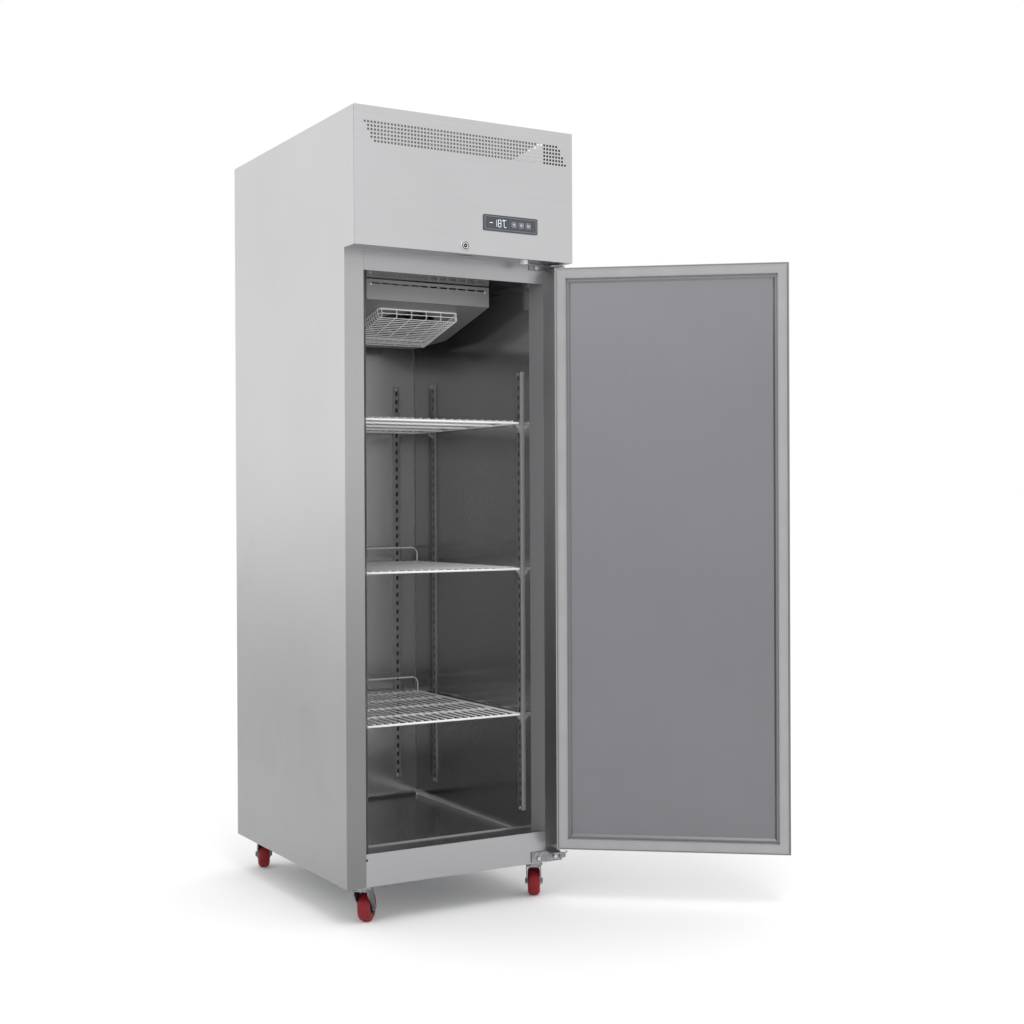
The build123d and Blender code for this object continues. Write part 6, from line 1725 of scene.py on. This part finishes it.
@dataclass
class DoorSeal:
    """Moulded ribs that run round the door's magnetic seal.

    They are modelled in the door's own frame: X from the hinge to the free edge, Y out of its front.
    """

    bench: Bench
    hinge: Pair = (0.289, -0.033)
    opening: float = 141.6
    near: float = -0.005
    far: float = 0.583
    bottom: float = 0.146
    top: float = 1.646
    face: float = -0.0323
    radius: float = 0.0009
    rise: float = 0.00036
    insets: Pair = (0.0032, 0.0208)
    corner: float = 0.003

    def door_place(self) -> Matrix:
        """Place of the door as it stands open.

        Returns:
            The transform from the door's own frame.
        """
        angle = math.radians(self.opening)
        along = Vector((-math.cos(angle), -math.sin(angle), 0.0))
        return axes_at((*self.hinge, 0.0), along, Vector((-along.y, along.x, 0.0)), Vector(UP))

    def build(self) -> list[Piece]:
        """Model the ribs as closed rounded beads on the seal's face.

        Returns:
            The ribs, as one piece.
        """
        beads = []
        for inset in self.insets:
            low, high = self.near + inset, self.far - inset
            base, tip = self.bottom + inset, self.top - inset
            y = self.face + self.rise
            ring = ((low, y, base), (high, y, base), (high, y, tip), (low, y, tip))
            beads.append(self.bench.wire("rib", ring, self.radius, closed=True, corner=self.corner,
                                         steps=3))
        ribs = self.bench.join(beads, "seal_ribs")
        ribs.data.transform(self.door_place())
        return [self.bench.finish(ribs, Finish.GASKET, "gasket_rubber", "door", angle=60.0)]


@dataclass
class CasterWheel:
    """Moulded tyre of one wheel, spun from its profile.

    The tread and the flank are points of that profile: how far from the wheel's middle along the axle, and
    how far below the tread's top or above the hub.
    """

    bench: Bench
    corner: str
    place: Pair
    trail_angle: float
    trail: float = 0.028
    radius: float = 0.0375
    hub_radius: float = 0.022
    tread: tuple[Pair, ...] = ((0.0055, 0.0001), (0.0095, 0.0015), (0.0128, 0.0029), (0.0149, 0.0060),
                               (0.0160, 0.0090))
    flank: tuple[Pair, ...] = ((0.0160, 0.0030), (0.01488, 0.0012), (0.0144, 0.0))
    steps: int = 48
    merge: float = 0.000005

    def wheel_place(self) -> Matrix:
        """Place of the wheel: X along its axle, Z up.

        Returns:
            The transform.
        """
        angle = math.radians(self.trail_angle)
        trail = Vector((math.cos(angle), math.sin(angle), 0.0))
        axle = Vector((-trail.y, trail.x, 0.0))
        centre = Vector((*self.place, self.radius)) + trail * self.trail
        return axes_at(centre, axle, Vector(UP).cross(axle), Vector(UP))

    def turn(self, name: str, profile: Sequence[Pair]) -> Piece:
        """Ring turned round the axle from a closed profile.

        Args:
            name: Name of the piece.
            profile: Points as place along the axle and distance from it.

        Returns:
            The ring, in its place.
        """
        self.bench.clear()
        bpy.ops.mesh.primitive_circle_add(vertices=len(profile), radius=1.0, fill_type="NOTHING")
        ring = bpy.context.object
        ring.name = name
        for vertex, (along, out) in zip(ring.data.vertices, profile):
            vertex.co = (along, 0.0, out)
        with self.bench.picked(ring, lambda edge: True, Element.EDGE):
            bpy.ops.mesh.spin(steps=self.steps, angle=math.tau, center=(0.0, 0.0, 0.0),
                              axis=(1.0, 0.0, 0.0))
            bpy.ops.mesh.select_all(action="SELECT")
            bpy.ops.mesh.remove_doubles(threshold=self.merge)
            bpy.ops.mesh.normals_make_consistent(inside=False)
        ring.data.transform(self.wheel_place())
        return ring

    def build(self) -> list[Piece]:
        """Model the tyre with its crowned tread, in place of the plain ring.

        Returns:
            The tyre.
        """
        half = [(along, self.radius - drop) for along, drop in self.tread]
        half += [(along, self.hub_radius + rise) for along, rise in self.flank]
        outline = half + [(-along, out) for along, out in reversed(half)]
        tyre = self.turn(f"tyre_ring_{self.corner}", outline)
        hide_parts(f"tyre_{self.corner}")
        return [self.bench.finish(tyre, Finish.TYRE, "red_tyre", f"wheel_{self.corner}", angle=50.0)]


SHELF_LEVELS = {"shelf_lower": 0.482, "shelf_middle": 0.867, "shelf_upper": 1.253}
CASTER_PLACES = ((-0.247, 0.042), (0.247, 0.042), (-0.247, 0.713), (0.247, 0.713))
TRAIL_ANGLES = (48.0, 58.0, 72.0, 60.0)


def main() -> None:
    """Build the studio and every sub-assembly, and report each piece."""
    logging.basicConfig(level=logging.INFO, format="%(name)s: %(message)s")
    Studio().build()
    shop = Paintshop()
    shop.dress_frame()
    bench = Bench(shop)
    strips = PilasterStrips(bench)
    shelves = [WireShelf(bench, node, level) for node, level in SHELF_LEVELS.items()]
    wheels = [CasterWheel(bench, *caster) for caster in zip(CORNERS, CASTER_PLACES, TRAIL_ANGLES)]
    assemblies = (ControllerFace(bench), strips, *shelves, FanGuard(bench), Fasteners(bench, strips),
                  BackLouvres(bench), VentCloth(bench), LockFace(bench), Seams(bench), DoorSeal(bench),
                  *wheels)
    for assembly in assemblies:
        for piece in assembly.build():
            log.info("%s: %s", type(assembly).__name__, piece.name)


if __name__ == "__main__":
    main()
